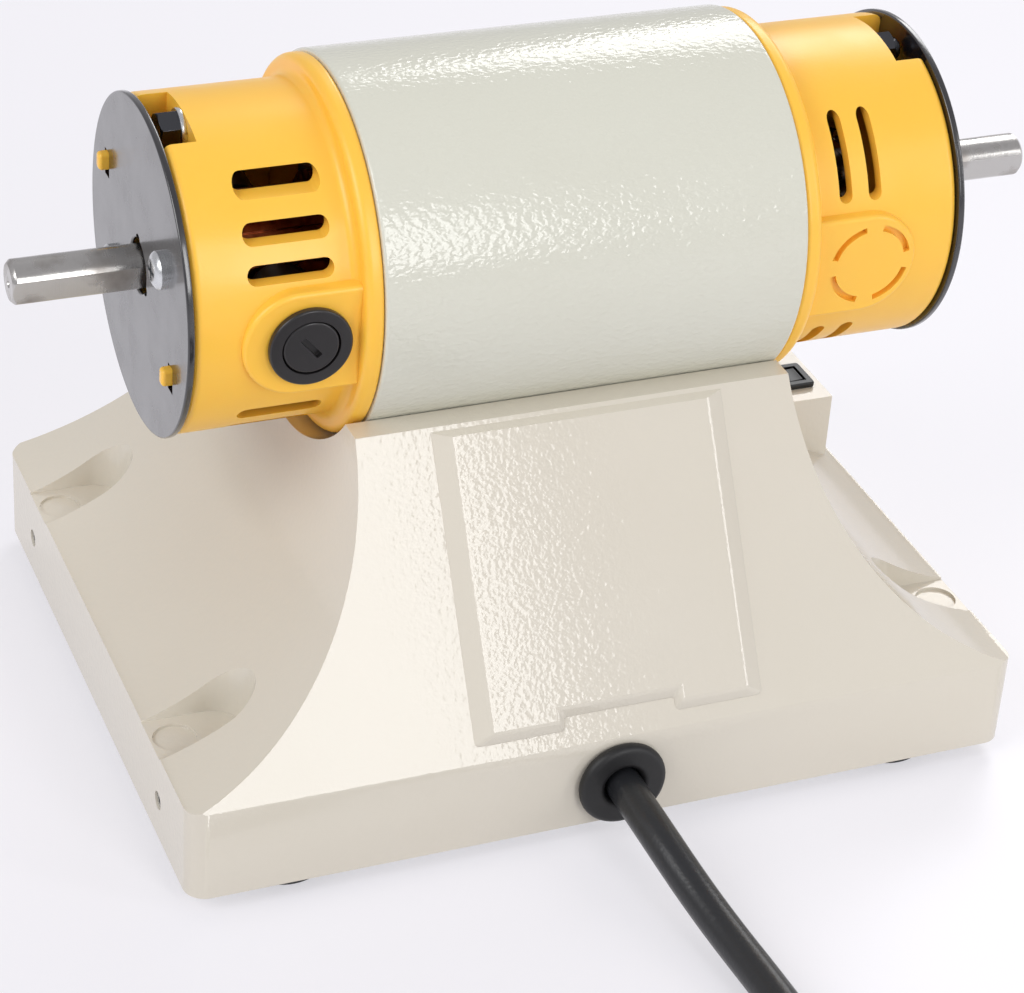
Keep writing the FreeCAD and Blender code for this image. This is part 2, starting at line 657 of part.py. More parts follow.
def rubber_feet():
    for side_x in (1, -1):
        for side_y in (1, -1):
            name = "rubber_foot_%s_%s" % ("left" if side_x > 0 else "right",
                                          "rear" if side_y > 0 else "front")
            body = new_body(name, SHIFT_X + side_x * FOOT_X,
                            side_y * FOOT_Y, FLOOR)
            lip = S.cover_thickness + S.foot_gap
            item = sketch(body, "XZ")
            outline(item, [
                (0, -S.foot_height), (S.foot_radius - S.foot_taper, -S.foot_height),
                (S.foot_radius, 0), (S.foot_neck, 0), (S.foot_neck, lip),
                (S.foot_neck + S.foot_taper, lip), (S.foot_neck, lip + S.foot_lip),
                (0, lip + S.foot_lip)])
            turn(body, item, "V_Axis")


def cord_grommet():
    """Rubber bush snapped into the rear wall, flared where the cord leaves."""
    body = new_body("cord_grommet", SHIFT_X, HALF_DEPTH, FLOOR + S.outlet_height)
    bore = S.cord_radius + S.cord_bore_gap
    back = -S.cast_wall - S.grommet_gap
    item = sketch(body, "XY")
    outline(item, [
        (bore, back - S.grommet_back), (S.grommet_radius - 1, back - S.grommet_back),
        (S.grommet_radius - 1, back), (S.grommet_neck, back), (S.grommet_neck, S.grommet_gap),
        (S.grommet_radius, S.grommet_gap), (S.grommet_radius, S.grommet_lip - S.grommet_round),
        (S.grommet_radius - S.grommet_round, S.grommet_lip, S.grommet_round),
        (S.grommet_mouth, S.grommet_lip), (bore, S.grommet_lip - S.grommet_round)])
    turn(body, item, "V_Axis")


# Motor: everything here is laid out from the middle of the base along the shaft

def motor_body(label, x=0):
    return new_body(label, SHIFT_X + x, 0, AXIS_Z)


def turned_body(label, x, out=0, up=0):
    """A body of the motor's frame, which sits turned in its saddle."""
    y = out * cosine(S.motor_turn) + up * sine(S.motor_turn)
    z = up * cosine(S.motor_turn) - out * sine(S.motor_turn)
    body = new_body(label, SHIFT_X + x, y, AXIS_Z + z)
    turned = Rotation(Vector(-1, 0, 0), number(S.motor_turn))
    body.Placement = Placement(body.Placement.Base, turned)
    body.setExpression("Placement.Rotation.Angle", S.motor_turn.text)
    return body


def motor_tube():
    body = motor_body("motor_tube")
    item = sketch(body, "XZ")
    rectangle(item, TUBE_LOW, TUBE_HIGH, S.tube_radius - S.tube_wall, S.tube_radius)
    turn(body, item)
    mount_holes(body)
    wires = sketch(body, "XY", at=-S.tube_radius - 1)
    circle(wires, S.wire_hole_x, 0, S.wire_hole_radius - 0.5)
    cut(body, wires, S.tube_radius, toward=1)


def mount_holes(body):
    holes = sketch(body, "XY", at=-S.tube_radius - 1)
    for side in (1, -1):
        circle(holes, S.motor_offset + side * S.mount_spacing / 2, 0, S.mount_hole_radius)
    cut(body, holes, 1 + S.mount_thread, toward=1)


def stator_core():
    """Laminated ring with an upper and a lower pole."""
    body = motor_body("stator_core")
    outer = S.tube_radius - S.tube_wall - S.stator_gap
    inner = outer - S.yoke_depth
    ring = sketch(body, "YZ", at=S.armature_offset)
    circle(ring, 0, 0, outer)
    circle(ring, 0, 0, inner)
    pad(body, ring, ARMATURE_LENGTH, both=True)
    shoe = STATOR_BORE + S.pole_shoe_depth
    neck = S.pole_half_width
    wide = sine(S.pole_shoe_angle)
    tall = cosine(S.pole_shoe_angle)
    pole = sketch(body, "YZ", at=S.armature_offset)
    outline(pole, [
        (neck, inner + 1), (-neck, inner + 1), (-neck, leg(shoe, neck)),
        (-shoe * wide, shoe * tall, shoe), (-STATOR_BORE * wide, STATOR_BORE * tall),
        (STATOR_BORE * wide, STATOR_BORE * tall, -STATOR_BORE),
        (shoe * wide, shoe * tall), (neck, leg(shoe, neck), shoe)])
    made = pad(body, pole, ARMATURE_LENGTH, both=True)
    ring_of(body, [made], "X", 2)
    bolts = sketch(body, "YZ", at=S.armature_offset)
    for side in (1, -1):
        circle(bolts, side * BOLT_CIRCLE * sine(S.motor_turn),
               side * BOLT_CIRCLE * cosine(S.motor_turn), S.bolt_radius + S.bolt_hole_gap)
    cut(body, bolts, both=True)
    mount_holes(body)


def field_coils():
    """Flat racetrack coils round the necks of the poles."""
    low = leg(STATOR_BORE + S.pole_shoe_depth, S.pole_half_width + S.coil_gap) + S.coil_gap
    for side, name in ((1, "field_coil_upper"), (-1, "field_coil_lower")):
        body = motor_body(name, S.armature_offset)
        item = sketch(body, "XY", at=side * low)
        half_x = ARMATURE_LENGTH / 2 + S.coil_gap
        half_y = S.pole_half_width + S.coil_gap
        width = S.coil_width
        rectangle(item, -half_x, half_x, -half_y, half_y, S.coil_round)
        rectangle(item, -half_x - width, half_x + width, -half_y - width, half_y + width,
                  S.coil_round + width)
        pad(body, item, S.coil_depth, toward=side)


def end_cap(label, end_x, side):
    """Turned profile of a cap: spigot, flange, drum, end wall and bearing seat."""
    body = turned_body(label, end_x)
    inside = CAP_RADIUS - S.cap_wall
    bore = S.bearing_outer + S.bearing_fit
    back = S.cap_length - S.end_wall
    seat = back - S.bearing_width - S.bearing_lip
    points = [
        (-S.spigot_length, inside),
        (-S.spigot_length, S.tube_radius - S.tube_wall - S.spigot_gap),
        (0, S.tube_radius - S.tube_wall - S.spigot_gap), (0, FLANGE_RADIUS),
        (S.flange_width - S.flange_round, FLANGE_RADIUS),
        (S.flange_width, FLANGE_RADIUS - S.flange_round, -S.flange_round),
        (S.flange_width, CAP_RADIUS + S.flange_fillet),
        (S.flange_width + S.flange_fillet, CAP_RADIUS, S.flange_fillet),
        (S.cap_length, CAP_RADIUS), (S.cap_length, S.shaft_hole), (back, S.shaft_hole),
        (back, bore), (seat, bore), (seat, S.bearing_boss_radius), (back, S.bearing_boss_radius),
        (back, inside)]
    item = sketch(body, "XZ")
    outline(item, [(side * p[0],) + tuple(p[1:2]) + tuple(side * r for r in p[2:]) for p in points])
    turn(body, item)
    bolt_seats(body, side, back)
    locating_pegs(body, side)
    return body


def bolt_seats(body, side, back):
    """Boss along each through bolt and the open notch that its head sits in."""
    seat = S.cap_length - S.notch_depth
    wall = S.notch_wall
    block_top = leg(CAP_RADIUS, S.notch_half + wall) - wall / 2
    for z in (1, -1):
        boss = sketch(body, "YZ")
        circle(boss, 0, z * BOLT_CIRCLE, S.bolt_boss_radius)
        pad(body, boss, seat, toward=side)
        block = sketch(body, "YZ", at=side * (seat - wall))
        rectangle(block, -S.notch_half - wall, S.notch_half + wall,
                  *ordered(z * (NOTCH_FLOOR - wall), z * block_top))
        pad(body, block, back - seat + 2 * wall, toward=side)
    notch = sketch(body, "YZ", at=side * seat)
    for z in (1, -1):
        rectangle(notch, -S.notch_half, S.notch_half,
                  *ordered(z * NOTCH_FLOOR, z * (FLANGE_RADIUS + 2)))
    cut(body, notch, toward=side)
    bolts = sketch(body, "YZ")
    for z in (1, -1):
        circle(bolts, 0, z * BOLT_CIRCLE, S.bolt_radius + S.bolt_hole_gap)
    cut(body, bolts, both=True)


def locating_pegs(body, side):
    """Two pegs that stand through the end plate, and the plate's two screw holes."""
    peg_angle = S.peg_angle + S.motor_turn
    screw_angle = S.plate_screw_angle + S.motor_turn
    pegs = sketch(body, "YZ", at=side * (S.cap_length - S.end_wall / 2))
    for z in (1, -1):
        y = z * PEG_CIRCLE * cosine(peg_angle)
        up = z * PEG_CIRCLE * sine(peg_angle)
        rectangle(pegs, y - S.peg_width / 2, y + S.peg_width / 2,
                  up - S.peg_height / 2, up + S.peg_height / 2)
    made = pad(body, pegs, S.end_wall / 2 + S.plate_thickness + S.peg_stand, toward=side)
    made.AllowMultiFace = True
    holes = sketch(body, "YZ", at=side * (S.cap_length + 1))
    for z in (1, -1):
        circle(holes, z * S.plate_screw_circle * cosine(screw_angle),
               z * S.plate_screw_circle * sine(screw_angle),
               S.plate_screw_radius + S.screw_gap)
    cut(body, holes, S.end_wall + 2, toward=-side)


def tongue(body, side, y):
    """Flat rounded pad on one side of a cap."""
    item = sketch(body, "XZ", at=y * TONGUE_FACE)
    half = S.tongue_half
    end = S.tongue_reach - half
    outline(item, [
        (side * 1, -half), (side * end, -half),
        (side * S.tongue_reach, 0, side * half), (side * end, half, side * half),
        (side * 1, half)])
    pad(body, item, TONGUE_FACE - CAP_RADIUS + S.cap_wall + 1, toward=-y)


def brush_end_cap():
    body = end_cap("brush_end_cap", TUBE_HIGH, 1)
    line = BRUSH_LINE - TUBE_HIGH
    for y in (1, -1):
        tongue(body, 1, y)
        slots = sketch(body, "XZ", at=y * S.slot_start)
        for level in (-2, -1, 0, 1, 2):
            rise = S.slot_first + S.slot_pitch * (abs(level) if level else 0)
            centre = rise if level >= 0 else -rise
            slot_outline(slots, S.slot_inset, S.slot_inset + S.slot_length,
                         centre - S.slot_height / 2, centre + S.slot_height / 2)
        cut(body, slots, toward=y)
        hole = sketch(body, "XZ", at=y * S.slot_start)
        circle(hole, line, 0, S.holder_radius + S.holder_gap)
        cut(body, hole, toward=y)
    return body


def fan_end_cap():
    body = end_cap("fan_end_cap", TUBE_LOW, -1)
    for y in (1, -1):
        tongue(body, -1, y)
        slots = sketch(body, "XZ", at=y * S.slot_start)
        for step in (0, 1):
            centre = -S.fan_slot_near - step * S.fan_slot_pitch
            left = centre - S.fan_slot_width / 2
            right = centre + S.fan_slot_width / 2
            slot_outline(slots, left, right, S.fan_slot_low, S.fan_slot_high)
            slot_outline(slots, left, right, -S.fan_slot_high, -S.fan_low_slot_top)
        cut(body, slots, toward=y)
        ring = sketch(body, "XZ", at=y * TONGUE_FACE)
        for quarter in range(4):
            start = number(S.knockout_tab) / 2 + quarter * 90
            ring_arc(ring, -S.knockout_inset, start, start + 90 - number(S.knockout_tab))
        cut(body, ring, S.knockout_depth, toward=-y)
    return body


def ring_arc(item, centre_x, start, stop):
    outer = S.knockout_radius + S.knockout_width / 2
    inner = S.knockout_radius - S.knockout_width / 2
    corners = []
    for radius, angle, bend in ((outer, start, None), (outer, stop, outer),
                                (inner, stop, None), (inner, start, -inner)):
        x = centre_x + radius * math.cos(math.radians(angle))
        z = radius * math.sin(math.radians(angle))
        corners.append((x, z) if bend is None else (x, z, bend))
    outline(item, corners)


def end_plates():
    for name, x, side in (("brush_end_plate", TUBE_HIGH + S.cap_length, 1),
                          ("fan_end_plate", TUBE_LOW - S.cap_length, -1)):
        body = motor_body(name, x)
        disc = sketch(body, "YZ")
        circle(disc, 0, 0, PLATE_RADIUS)
        pad(body, disc, S.plate_thickness, toward=side)
        holes = sketch(body, "YZ")
        circle(holes, 0, 0, S.plate_hole)
        for z in (1, -1):
            circle(holes, z * S.plate_screw_circle * cosine(S.plate_screw_angle),
                   z * S.plate_screw_circle * sine(S.plate_screw_angle),
                   S.plate_screw_radius + S.screw_gap)
            y = z * PEG_CIRCLE * cosine(S.peg_angle)
            up = z * PEG_CIRCLE * sine(S.peg_angle)
            rectangle(holes, y - S.peg_width / 2 - S.peg_gap, y + S.peg_width / 2 + S.peg_gap,
                      up - S.peg_height / 2 - S.peg_slot_extra, up + S.peg_height / 2 + S.peg_gap)
        cut(body, holes, both=True)
        for turns in range(3):
            scallop = sketch(body, "YZ")
            angle = 90 + 120 * turns
            circle(scallop, S.plate_hole * math.cos(math.radians(angle)),
                   S.plate_hole * math.sin(math.radians(angle)), S.scallop_radius)
            cut(body, scallop, both=True)
        for z, place_name in ((1, "upper"), (-1, "lower")):
            plate_screw(name + "_screw_" + place_name, x + side * S.plate_thickness, side, z)


def plate_screw(label, x, side, z):
    """Pan-head screw, turned, with a cross recess."""
    body = new_body(label, SHIFT_X + x, z * S.plate_screw_circle * cosine(S.plate_screw_angle),
                    AXIS_Z + z * S.plate_screw_circle * sine(S.plate_screw_angle))
    item = sketch(body, "XZ")
    head = S.plate_screw_head
    high = S.plate_screw_head_height
    outline(item, [
        (0, 0), (side * -S.plate_screw_length, 0), (side * -S.plate_screw_length, S.plate_screw_radius),
        (0, S.plate_screw_radius), (0, head), (side * high / 2, head),
        (side * high, head / 2, -side * S.screw_dome), (side * high, 0)])
    turn(body, item)
    for wide, tall in ((0.5, 2.2), (2.2, 0.5)):
        recess = sketch(body, "YZ", at=side * (high + 1))
        rectangle(recess, Size(-wide, repr(-wide)), wide, Size(-tall, repr(-tall)), tall)
        cut(body, recess, 2.2, toward=-side)


def through_bolts():
    """Long bolts from the brush-end notch into the tapped boss of the fan-end cap."""
    head_x = TUBE_HIGH + S.cap_length - S.notch_depth + S.bolt_washer_thickness
    end_x = TUBE_LOW - S.cap_length + S.notch_depth + 2
    for z, name in ((1, "upper"), (-1, "lower")):
        body = turned_body("through_bolt_" + name, head_x, up=z * BOLT_CIRCLE)
        shank = sketch(body, "YZ")
        circle(shank, 0, 0, S.bolt_radius)
        pad(body, shank, head_x - end_x, toward=-1)
        head = sketch(body, "YZ")
        hexagon(head, S.bolt_hex)
        pad(body, head, S.bolt_head_height, toward=1)
        washer = turned_body("bolt_washer_" + name, head_x - S.bolt_washer_thickness,
                             up=z * BOLT_CIRCLE)
        ring = sketch(washer, "YZ")
        circle(ring, 0, 0, S.bolt_washer_radius)
        circle(ring, 0, 0, S.bolt_radius + S.screw_gap)
        pad(washer, ring, S.bolt_washer_thickness, toward=1)


def motor_mount_screws():
    """Cap screws up through the saddle floor into the motor tube."""
    top = S.axis_height - S.tube_radius + S.mount_thread - S.screw_gap
    for side, name in ((1, "left"), (-1, "right")):
        body = new_body("motor_mount_screw_" + name,
                        SHIFT_X + S.motor_offset + side * S.mount_spacing / 2, 0,
                        FLOOR + S.core_roof)
        item = sketch(body, "XZ")
        outline(item, [
            (0, -S.mount_head_height), (S.mount_head_radius, -S.mount_head_height),
            (S.mount_head_radius, 0), (S.mount_hole_radius - S.screw_gap, 0),
            (S.mount_hole_radius - S.screw_gap, top - S.core_roof), (0, top - S.core_roof)])
        turn(body, item, "V_Axis")
        socket = sketch(body, "XY", at=-S.mount_head_height)
        hexagon(socket, S.mount_head_radius)
        cut(body, socket, S.mount_head_height / 2, toward=1)


# Rotor

BEARING_HIGH = TUBE_HIGH + S.cap_length - S.end_wall
BEARING_LOW = TUBE_LOW - S.cap_length + S.end_wall


def spindle_shaft():
    body = motor_body("spindle_shaft")
    left = SHAFT_LEFT
    right = SHAFT_RIGHT
    radius = S.shaft_radius
    chamfer = S.shaft_chamfer
    core_high = BEARING_HIGH - S.bearing_width
    core_low = BEARING_LOW + S.bearing_width
    waist = radius - S.retainer_depth
    groove_high = BEARING_HIGH + S.retainer_width
    groove_low = BEARING_LOW - S.retainer_width
    item = sketch(body, "XZ")
    outline(item, [
        (right, S.centre_drill), (right, radius - chamfer), (right + chamfer, radius),
        (groove_low, radius), (groove_low, waist), (BEARING_LOW, waist), (BEARING_LOW, radius),
        (core_low, radius), (core_low, S.shaft_core_radius), (core_high, S.shaft_core_radius),
        (core_high, radius), (BEARING_HIGH, radius), (BEARING_HIGH, waist),
        (groove_high, waist), (groove_high, radius), (left - chamfer, radius), (left, radius - chamfer),
        (left, S.centre_drill), (left - 2 * S.centre_drill, 0), (right + 2 * S.centre_drill, 0)])
    turn(body, item)
    for end, side, length in ((left, 1, left - groove_high), (right, -1, groove_low - right)):
        flat = sketch(body, "YZ", at=end)
        across = cosine(S.flat_angle)
        along = sine(S.flat_angle)
        near_edge = radius - S.shaft_flat
        far_edge = radius * 2
        outline(flat, [
            (near_edge * across + radius * along, near_edge * along - radius * across),
            (far_edge * across + radius * along, far_edge * along - radius * across),
            (far_edge * across - radius * along, far_edge * along + radius * across),
            (near_edge * across - radius * along, near_edge * along + radius * across)])
        cut(body, flat, length, toward=-side)


def armature_core():
    body = motor_body("armature_core", S.armature_offset)
    ring = sketch(body, "YZ")
    circle(ring, 0, 0, ARMATURE_RADIUS)
    circle(ring, 0, 0, S.shaft_core_radius + S.bearing_fit)
    pad(body, ring, ARMATURE_LENGTH, both=True)
    slot = sketch(body, "YZ")
    half = S.armature_slot_width / 2
    rectangle(slot, -half, half, ARMATURE_RADIUS - S.armature_slot_depth, ARMATURE_RADIUS + 1)
    made = cut(body, slot, both=True)
    ring_of(body, [made], "X", S.armature_slots)


def armature_windings():
    """Winding heads at both ends, joined by the bars that lie in the slots."""
    body = motor_body("armature_windings", S.armature_offset)
    near_end = ARMATURE_LENGTH / 2 + S.winding_gap
    far_end = near_end + S.winding_length
    inner = S.shaft_core_radius + S.winding_gap
    for side in (1, -1):
        head = sketch(body, "XZ")
        outline(head, [
            (side * near_end, inner), (side * near_end, WINDING_RADIUS),
            (side * (near_end + S.winding_length / 2), WINDING_RADIUS),
            (side * far_end, WINDING_RADIUS - S.winding_length / 2, -side * S.winding_length / 2),
            (side * far_end, inner)])
        turn(body, head)
        if side == 1:
            bar = sketch(body, "YZ", at=-near_end - 1)
            half = S.armature_slot_width / 2 - S.winding_gap
            rectangle(bar, -half, half,
                      ARMATURE_RADIUS - S.armature_slot_depth + S.winding_gap,
                      WINDING_RADIUS)
            made = pad(body, bar, 2 * near_end + 2, toward=1)
            ring_of(body, [made], "X", S.armature_slots)


def commutator():
    body = motor_body("commutator", COMMUTATOR_START)
    inner = S.shaft_core_radius + S.bearing_fit
    item = sketch(body, "XZ")
    outline(item, [
        (0, inner), (S.commutator_length, inner), (S.commutator_length, S.commutator_radius),
        (S.riser_width, S.commutator_radius), (S.riser_width, S.commutator_riser),
        (0, S.commutator_riser)])
    turn(body, item)
    gap = sketch(body, "YZ")
    half = S.bar_gap_width / 2
    rectangle(gap, -half, half, S.commutator_radius - S.bar_gap_depth, S.commutator_riser + 1)
    made = cut(body, gap, both=True)
    ring_of(body, [made], "X", S.commutator_bars)


def cooling_fan():
    """Radial blades on a disc, next to the fan-end vents."""
    body = motor_body("cooling_fan", TUBE_LOW - S.fan_gap)
    inner = S.shaft_core_radius + S.bearing_fit
    item = sketch(body, "XZ")
    outline(item, [
        (0, inner), (0, FAN_RADIUS), (-S.fan_disc, FAN_RADIUS), (-S.fan_disc, S.fan_hub),
        (-S.fan_width, S.fan_hub), (-S.fan_width, inner)])
    turn(body, item)
    blade = sketch(body, "YZ")
    half = S.fan_blade_thickness / 2
    rectangle(blade, -half, half, S.fan_hub - 1, FAN_RADIUS)
    made = pad(body, blade, S.fan_width, toward=-1)
    ring_of(body, [made], "X", S.fan_blades)


def bearings():
    """Deep-groove bearings: rings with a ball groove, and a cage that carries the balls."""
    groove_radius = (S.bearing_race - S.bearing_inner_race) / 2
    pitch = (S.bearing_race + S.bearing_inner_race) / 2
    for name, x in (("brush_end_bearing", BEARING_HIGH - S.bearing_width / 2),
                    ("fan_end_bearing", BEARING_LOW + S.bearing_width / 2)):
        half = S.bearing_width / 2
        outer = motor_body(name + "_outer_ring", x)
        item = sketch(outer, "XZ")
        rectangle(item, -half, half, S.bearing_race - S.race_depth, S.bearing_outer)
        turn(outer, item)
        race = sketch(outer, "XZ")
        circle(race, 0, pitch, groove_radius + S.bearing_fit)
        groove(outer, race)
        inner = motor_body(name + "_inner_ring", x)
        item = sketch(inner, "XZ")
        rectangle(item, -half, half, S.shaft_radius + S.bearing_fit / 2,
                  S.bearing_inner_race + S.race_depth)
        turn(inner, item)
        race = sketch(inner, "XZ")
        circle(race, 0, pitch, groove_radius + S.bearing_fit)
        groove(inner, race)
        cage = motor_body(name + "_ball_cage", x)
        item = sketch(cage, "XZ")
        rectangle(item, -S.cage_half, S.cage_half, pitch - S.cage_depth / 2,
                  pitch + S.cage_depth / 2)
        turn(cage, item)
        ball = cage.newObject("PartDesign::AdditiveSphere", cage.Label + "_ball")
        ball.AttachmentSupport = [(origin_feature(cage, "XY_Plane"), "")]
        ball.MapMode = "FlatFace"
        bind(ball, "Radius", groove_radius - S.bearing_fit)
        ball.setExpression("AttachmentOffset.Base.y", pitch.text)
        ring_of(cage, [ball], "X", S.ball_count)


# Brush gear

def brush_gear():
    for y, name in ((1, "rear"), (-1, "front")):
        brush_holder(name, y)
        carbon_brush(name, y)
        brush_spring(name, y)
        brush_cap(name, y)


def brush_body(label, y, distance):
    return turned_body(label, BRUSH_LINE, out=y * distance)


def brush_holder(name, y):
    """Insulating sleeve with a round flange outside and a square channel for the brush."""
    body = brush_body("brush_holder_" + name, y, TONGUE_FACE)
    depth = TONGUE_FACE - S.holder_reach
    item = sketch(body, "XY")
    outline(item, [
        (0, y * S.holder_flange), (S.holder_flange_radius, y * S.holder_flange),
        (S.holder_flange_radius, 0), (S.holder_radius, 0), (S.holder_radius, -y * depth),
        (0, -y * depth)])
    turn(body, item, "V_Axis")
    channel = sketch(body, "XZ", at=y * S.holder_flange)
    half_x = S.brush_depth / 2 + S.brush_side_gap
    half_z = S.brush_width / 2 + S.brush_side_gap
    rectangle(channel, -half_x, half_x, -half_z, half_z)
    cut(body, channel, toward=-y)
    seat = sketch(body, "XZ", at=y * S.holder_flange)
    circle(seat, 0, 0, S.brush_cap_radius + S.brush_cap_gap)
    cut(body, seat, S.brush_cap_depth + S.brush_cap_gap, toward=-y)


def carbon_brush(name, y):
    body = brush_body("carbon_brush_" + name, y, S.commutator_radius + S.brush_contact_gap)
    item = sketch(body, "XZ")
    rectangle(item, -S.brush_depth / 2, S.brush_depth / 2, -S.brush_width / 2, S.brush_width / 2)
    pad(body, item, S.brush_length, toward=y)


def brush_spring(name, y):
    start = S.commutator_radius + S.brush_contact_gap + S.brush_length
    stop = TONGUE_FACE + S.holder_flange - S.brush_cap_depth
    body = brush_body("brush_spring_" + name, y, start)
    item = sketch(body, "XZ")
    circle(item, 0, 0, S.spring_radius)
    circle(item, 0, 0, S.spring_radius - S.spring_wire)
    pad(body, item, stop - start, toward=y)


def brush_cap(name, y):
    body = brush_body("brush_cap_" + name, y, TONGUE_FACE + S.holder_flange)
    item = sketch(body, "XZ")
    circle(item, 0, 0, S.brush_cap_radius)
    pad(body, item, S.brush_cap_depth, toward=-y)
    coin = sketch(body, "XZ")
    rectangle(coin, -S.coin_slot_length / 2, S.coin_slot_length / 2,
              -S.coin_slot_width / 2, S.coin_slot_width / 2)
    cut(body, coin, S.coin_slot_depth, toward=-y)


# Console: switch and speed control

def rocker_switch():
    body = new_body("switch_housing", SHIFT_X + SWITCH_X, SWITCH_Y, FLOOR + S.console_top)
    bezel = sketch(body, "XY")
    rectangle(bezel, -S.bezel_length / 2, S.bezel_length / 2,
              -S.bezel_width / 2, S.bezel_width / 2, S.bezel_round)
    pad(body, bezel, S.bezel_height)
    core = sketch(body, "XY")
    rectangle(core, -S.switch_body_length / 2, S.switch_body_length / 2,
              -S.switch_body_width / 2, S.switch_body_width / 2)
    pad(body, core, S.switch_body_depth, toward=-1)
    well = sketch(body, "XY", at=S.bezel_height)
    rectangle(well, -S.rocker_length / 2 - S.rocker_gap, S.rocker_length / 2 + S.rocker_gap,
              -S.rocker_width / 2 - S.rocker_gap, S.rocker_width / 2 + S.rocker_gap)
    cut(body, well, S.well_depth, toward=-1)
    rocker = new_body("switch_rocker", SHIFT_X + SWITCH_X, SWITCH_Y,
                      FLOOR + S.console_top + S.rocker_pivot)
    side = sketch(rocker, "XZ")
    half = S.rocker_length / 2
    outline(side, [
        (-half, 0), (-half + S.rocker_draw, -S.rocker_drop), (half - S.rocker_draw, -S.rocker_drop),
        (half, 0), (half, S.rocker_rise + S.rocker_tilt), (0, S.rocker_rise, S.rocker_dish),
        (-half, S.rocker_rise, S.rocker_dish)])
    pad(rocker, side, S.rocker_width, both=True)


def speed_control():
    """Potentiometer under the console top, and a fluted knob whose stem turns in it."""
    top = FLOOR + S.console_top
    pot = new_body("speed_potentiometer", SHIFT_X + KNOB_X, KNOB_Y, top)
    item = sketch(pot, "XZ")
    roof = -S.console_roof
    outline(item, [
        (0, roof - S.pot_depth), (S.pot_radius, roof - S.pot_depth), (S.pot_radius, roof),
        (S.pot_bush_radius, roof), (S.pot_bush_radius, S.pot_nut_height), (0, S.pot_nut_height)])
    turn(pot, item, "V_Axis")
    nut = sketch(pot, "XY")
    hexagon(nut, S.pot_nut)
    pad(pot, nut, S.pot_nut_height)
    bore = sketch(pot, "XY", at=S.pot_nut_height)
    circle(bore, 0, 0, S.pot_shaft_radius + S.screw_gap)
    cut(pot, bore, S.pot_nut_height + S.console_roof + S.pot_depth - S.pot_wall, toward=-1)
    knob = new_body("speed_knob", SHIFT_X + KNOB_X, KNOB_Y, top + S.knob_gap)
    item = sketch(knob, "XZ")
    high = S.knob_height
    stem_end = S.screw_gap + S.pot_wall - S.console_roof - S.pot_depth - S.knob_gap
    outline(item, [
        (0, stem_end), (S.pot_shaft_radius, stem_end), (S.pot_shaft_radius, S.knob_hollow),
        (S.knob_radius - 2, S.knob_hollow), (S.knob_radius - 2, 0),
        (S.knob_skirt, 0), (S.knob_skirt, S.knob_skirt_height), (S.knob_radius, S.knob_skirt_height),
        (S.knob_radius - 1, high - 1), (S.knob_radius - 2, high, 1), (0, high)])
    turn(knob, item, "V_Axis")
    flute = sketch(knob, "XY", at=S.knob_skirt_height)
    circle(flute, S.knob_radius + S.flute_radius / 2, 0, S.flute_radius)
    made = cut(knob, flute, toward=1)
    ring_of(knob, [made], "Z", S.flute_count)
    mark = sketch(knob, "XY", at=high)
    rectangle(mark, S.knob_radius / 3, S.knob_radius + 2, -S.flute_radius / 3, S.flute_radius / 3)
    cut(knob, mark, S.flute_radius / 3, toward=-1)


def control_board():
    """Speed controller board on the cover's posts, with its heat sink and capacitor."""
    body = new_body("control_board", SHIFT_X + S.board_x, S.board_y, FLOOR + S.board_height)
    half_x = S.board_length / 2
    half_y = S.board_width / 2
    board = sketch(body, "XY")
    rectangle(board, -half_x, half_x, -half_y, half_y)
    pad(body, board, S.board_thickness)
    sink = sketch(body, "XY", at=S.board_thickness)
    rectangle(sink, -half_x + 4, -half_x + 6, -half_y + 4, half_y - 4)
    pad(body, sink, S.sink_height)
    capacitor = sketch(body, "XY", at=S.board_thickness)
    circle(capacitor, half_x / 2, 0, S.capacitor_radius)
    pad(body, capacitor, S.capacitor_height)
    terminals = sketch(body, "XY", at=S.board_thickness)
    rectangle(terminals, -half_x / 3, half_x / 6, half_y - 9, half_y - 1)
    pad(body, terminals, S.terminal_height)


# Mains lead. Its route is a hand-chosen list of points, counted from the middle of the base.

CORD_Z = number(S.cord_radius + S.cord_rest)
OUTLET_Z = number(FLOOR + S.outlet_height)
COIL_OUTER = number(S.coil_mid + S.coil_pitch * S.coil_turns / 4)
COIL_LEFT = number(S.coil_x) - COIL_OUTER
COIL_TOP_Z = CORD_Z + number(S.coil_step)
CORD_WIDE = 2 * number(S.cord_radius)

REAR = number(HALF_DEPTH)
COIL_Y = REAR + number(S.coil_behind)
CORD_START = REAR - number(S.cord_inside)

CORD_ROUTE = [
    (0, CORD_START, OUTLET_Z), (0, REAR + 14, OUTLET_Z), (-5, REAR + 39, 6.6),
    (-8.5, REAR + 67, CORD_Z), (-9.5, REAR + 97, CORD_Z), (COIL_LEFT, REAR + 121, CORD_Z),
    (COIL_LEFT, COIL_Y - CORD_WIDE, CORD_Z)]
INNER_ROUTE = [
    (0, CORD_START, OUTLET_Z), (0, REAR - 32, OUTLET_Z), (-8, REAR - 54, OUTLET_Z + 0.6),
    (-13, REAR - 74, OUTLET_Z + 1)]


def tail_route():
    """From the coil's last turn to the back of the plug."""
    start = Vector(number(S.coil_x) + CORD_WIDE, COIL_Y + COIL_OUTER, COIL_TOP_Z)
    bend = start + Vector(number(S.tail_run), 0, 0)
    angle = math.radians(number(S.plug_turn))
    end = bend + Vector(math.cos(angle), math.sin(angle), 0) * number(S.tail_end)
    return [tuple(start), tuple(bend), tuple(end)]


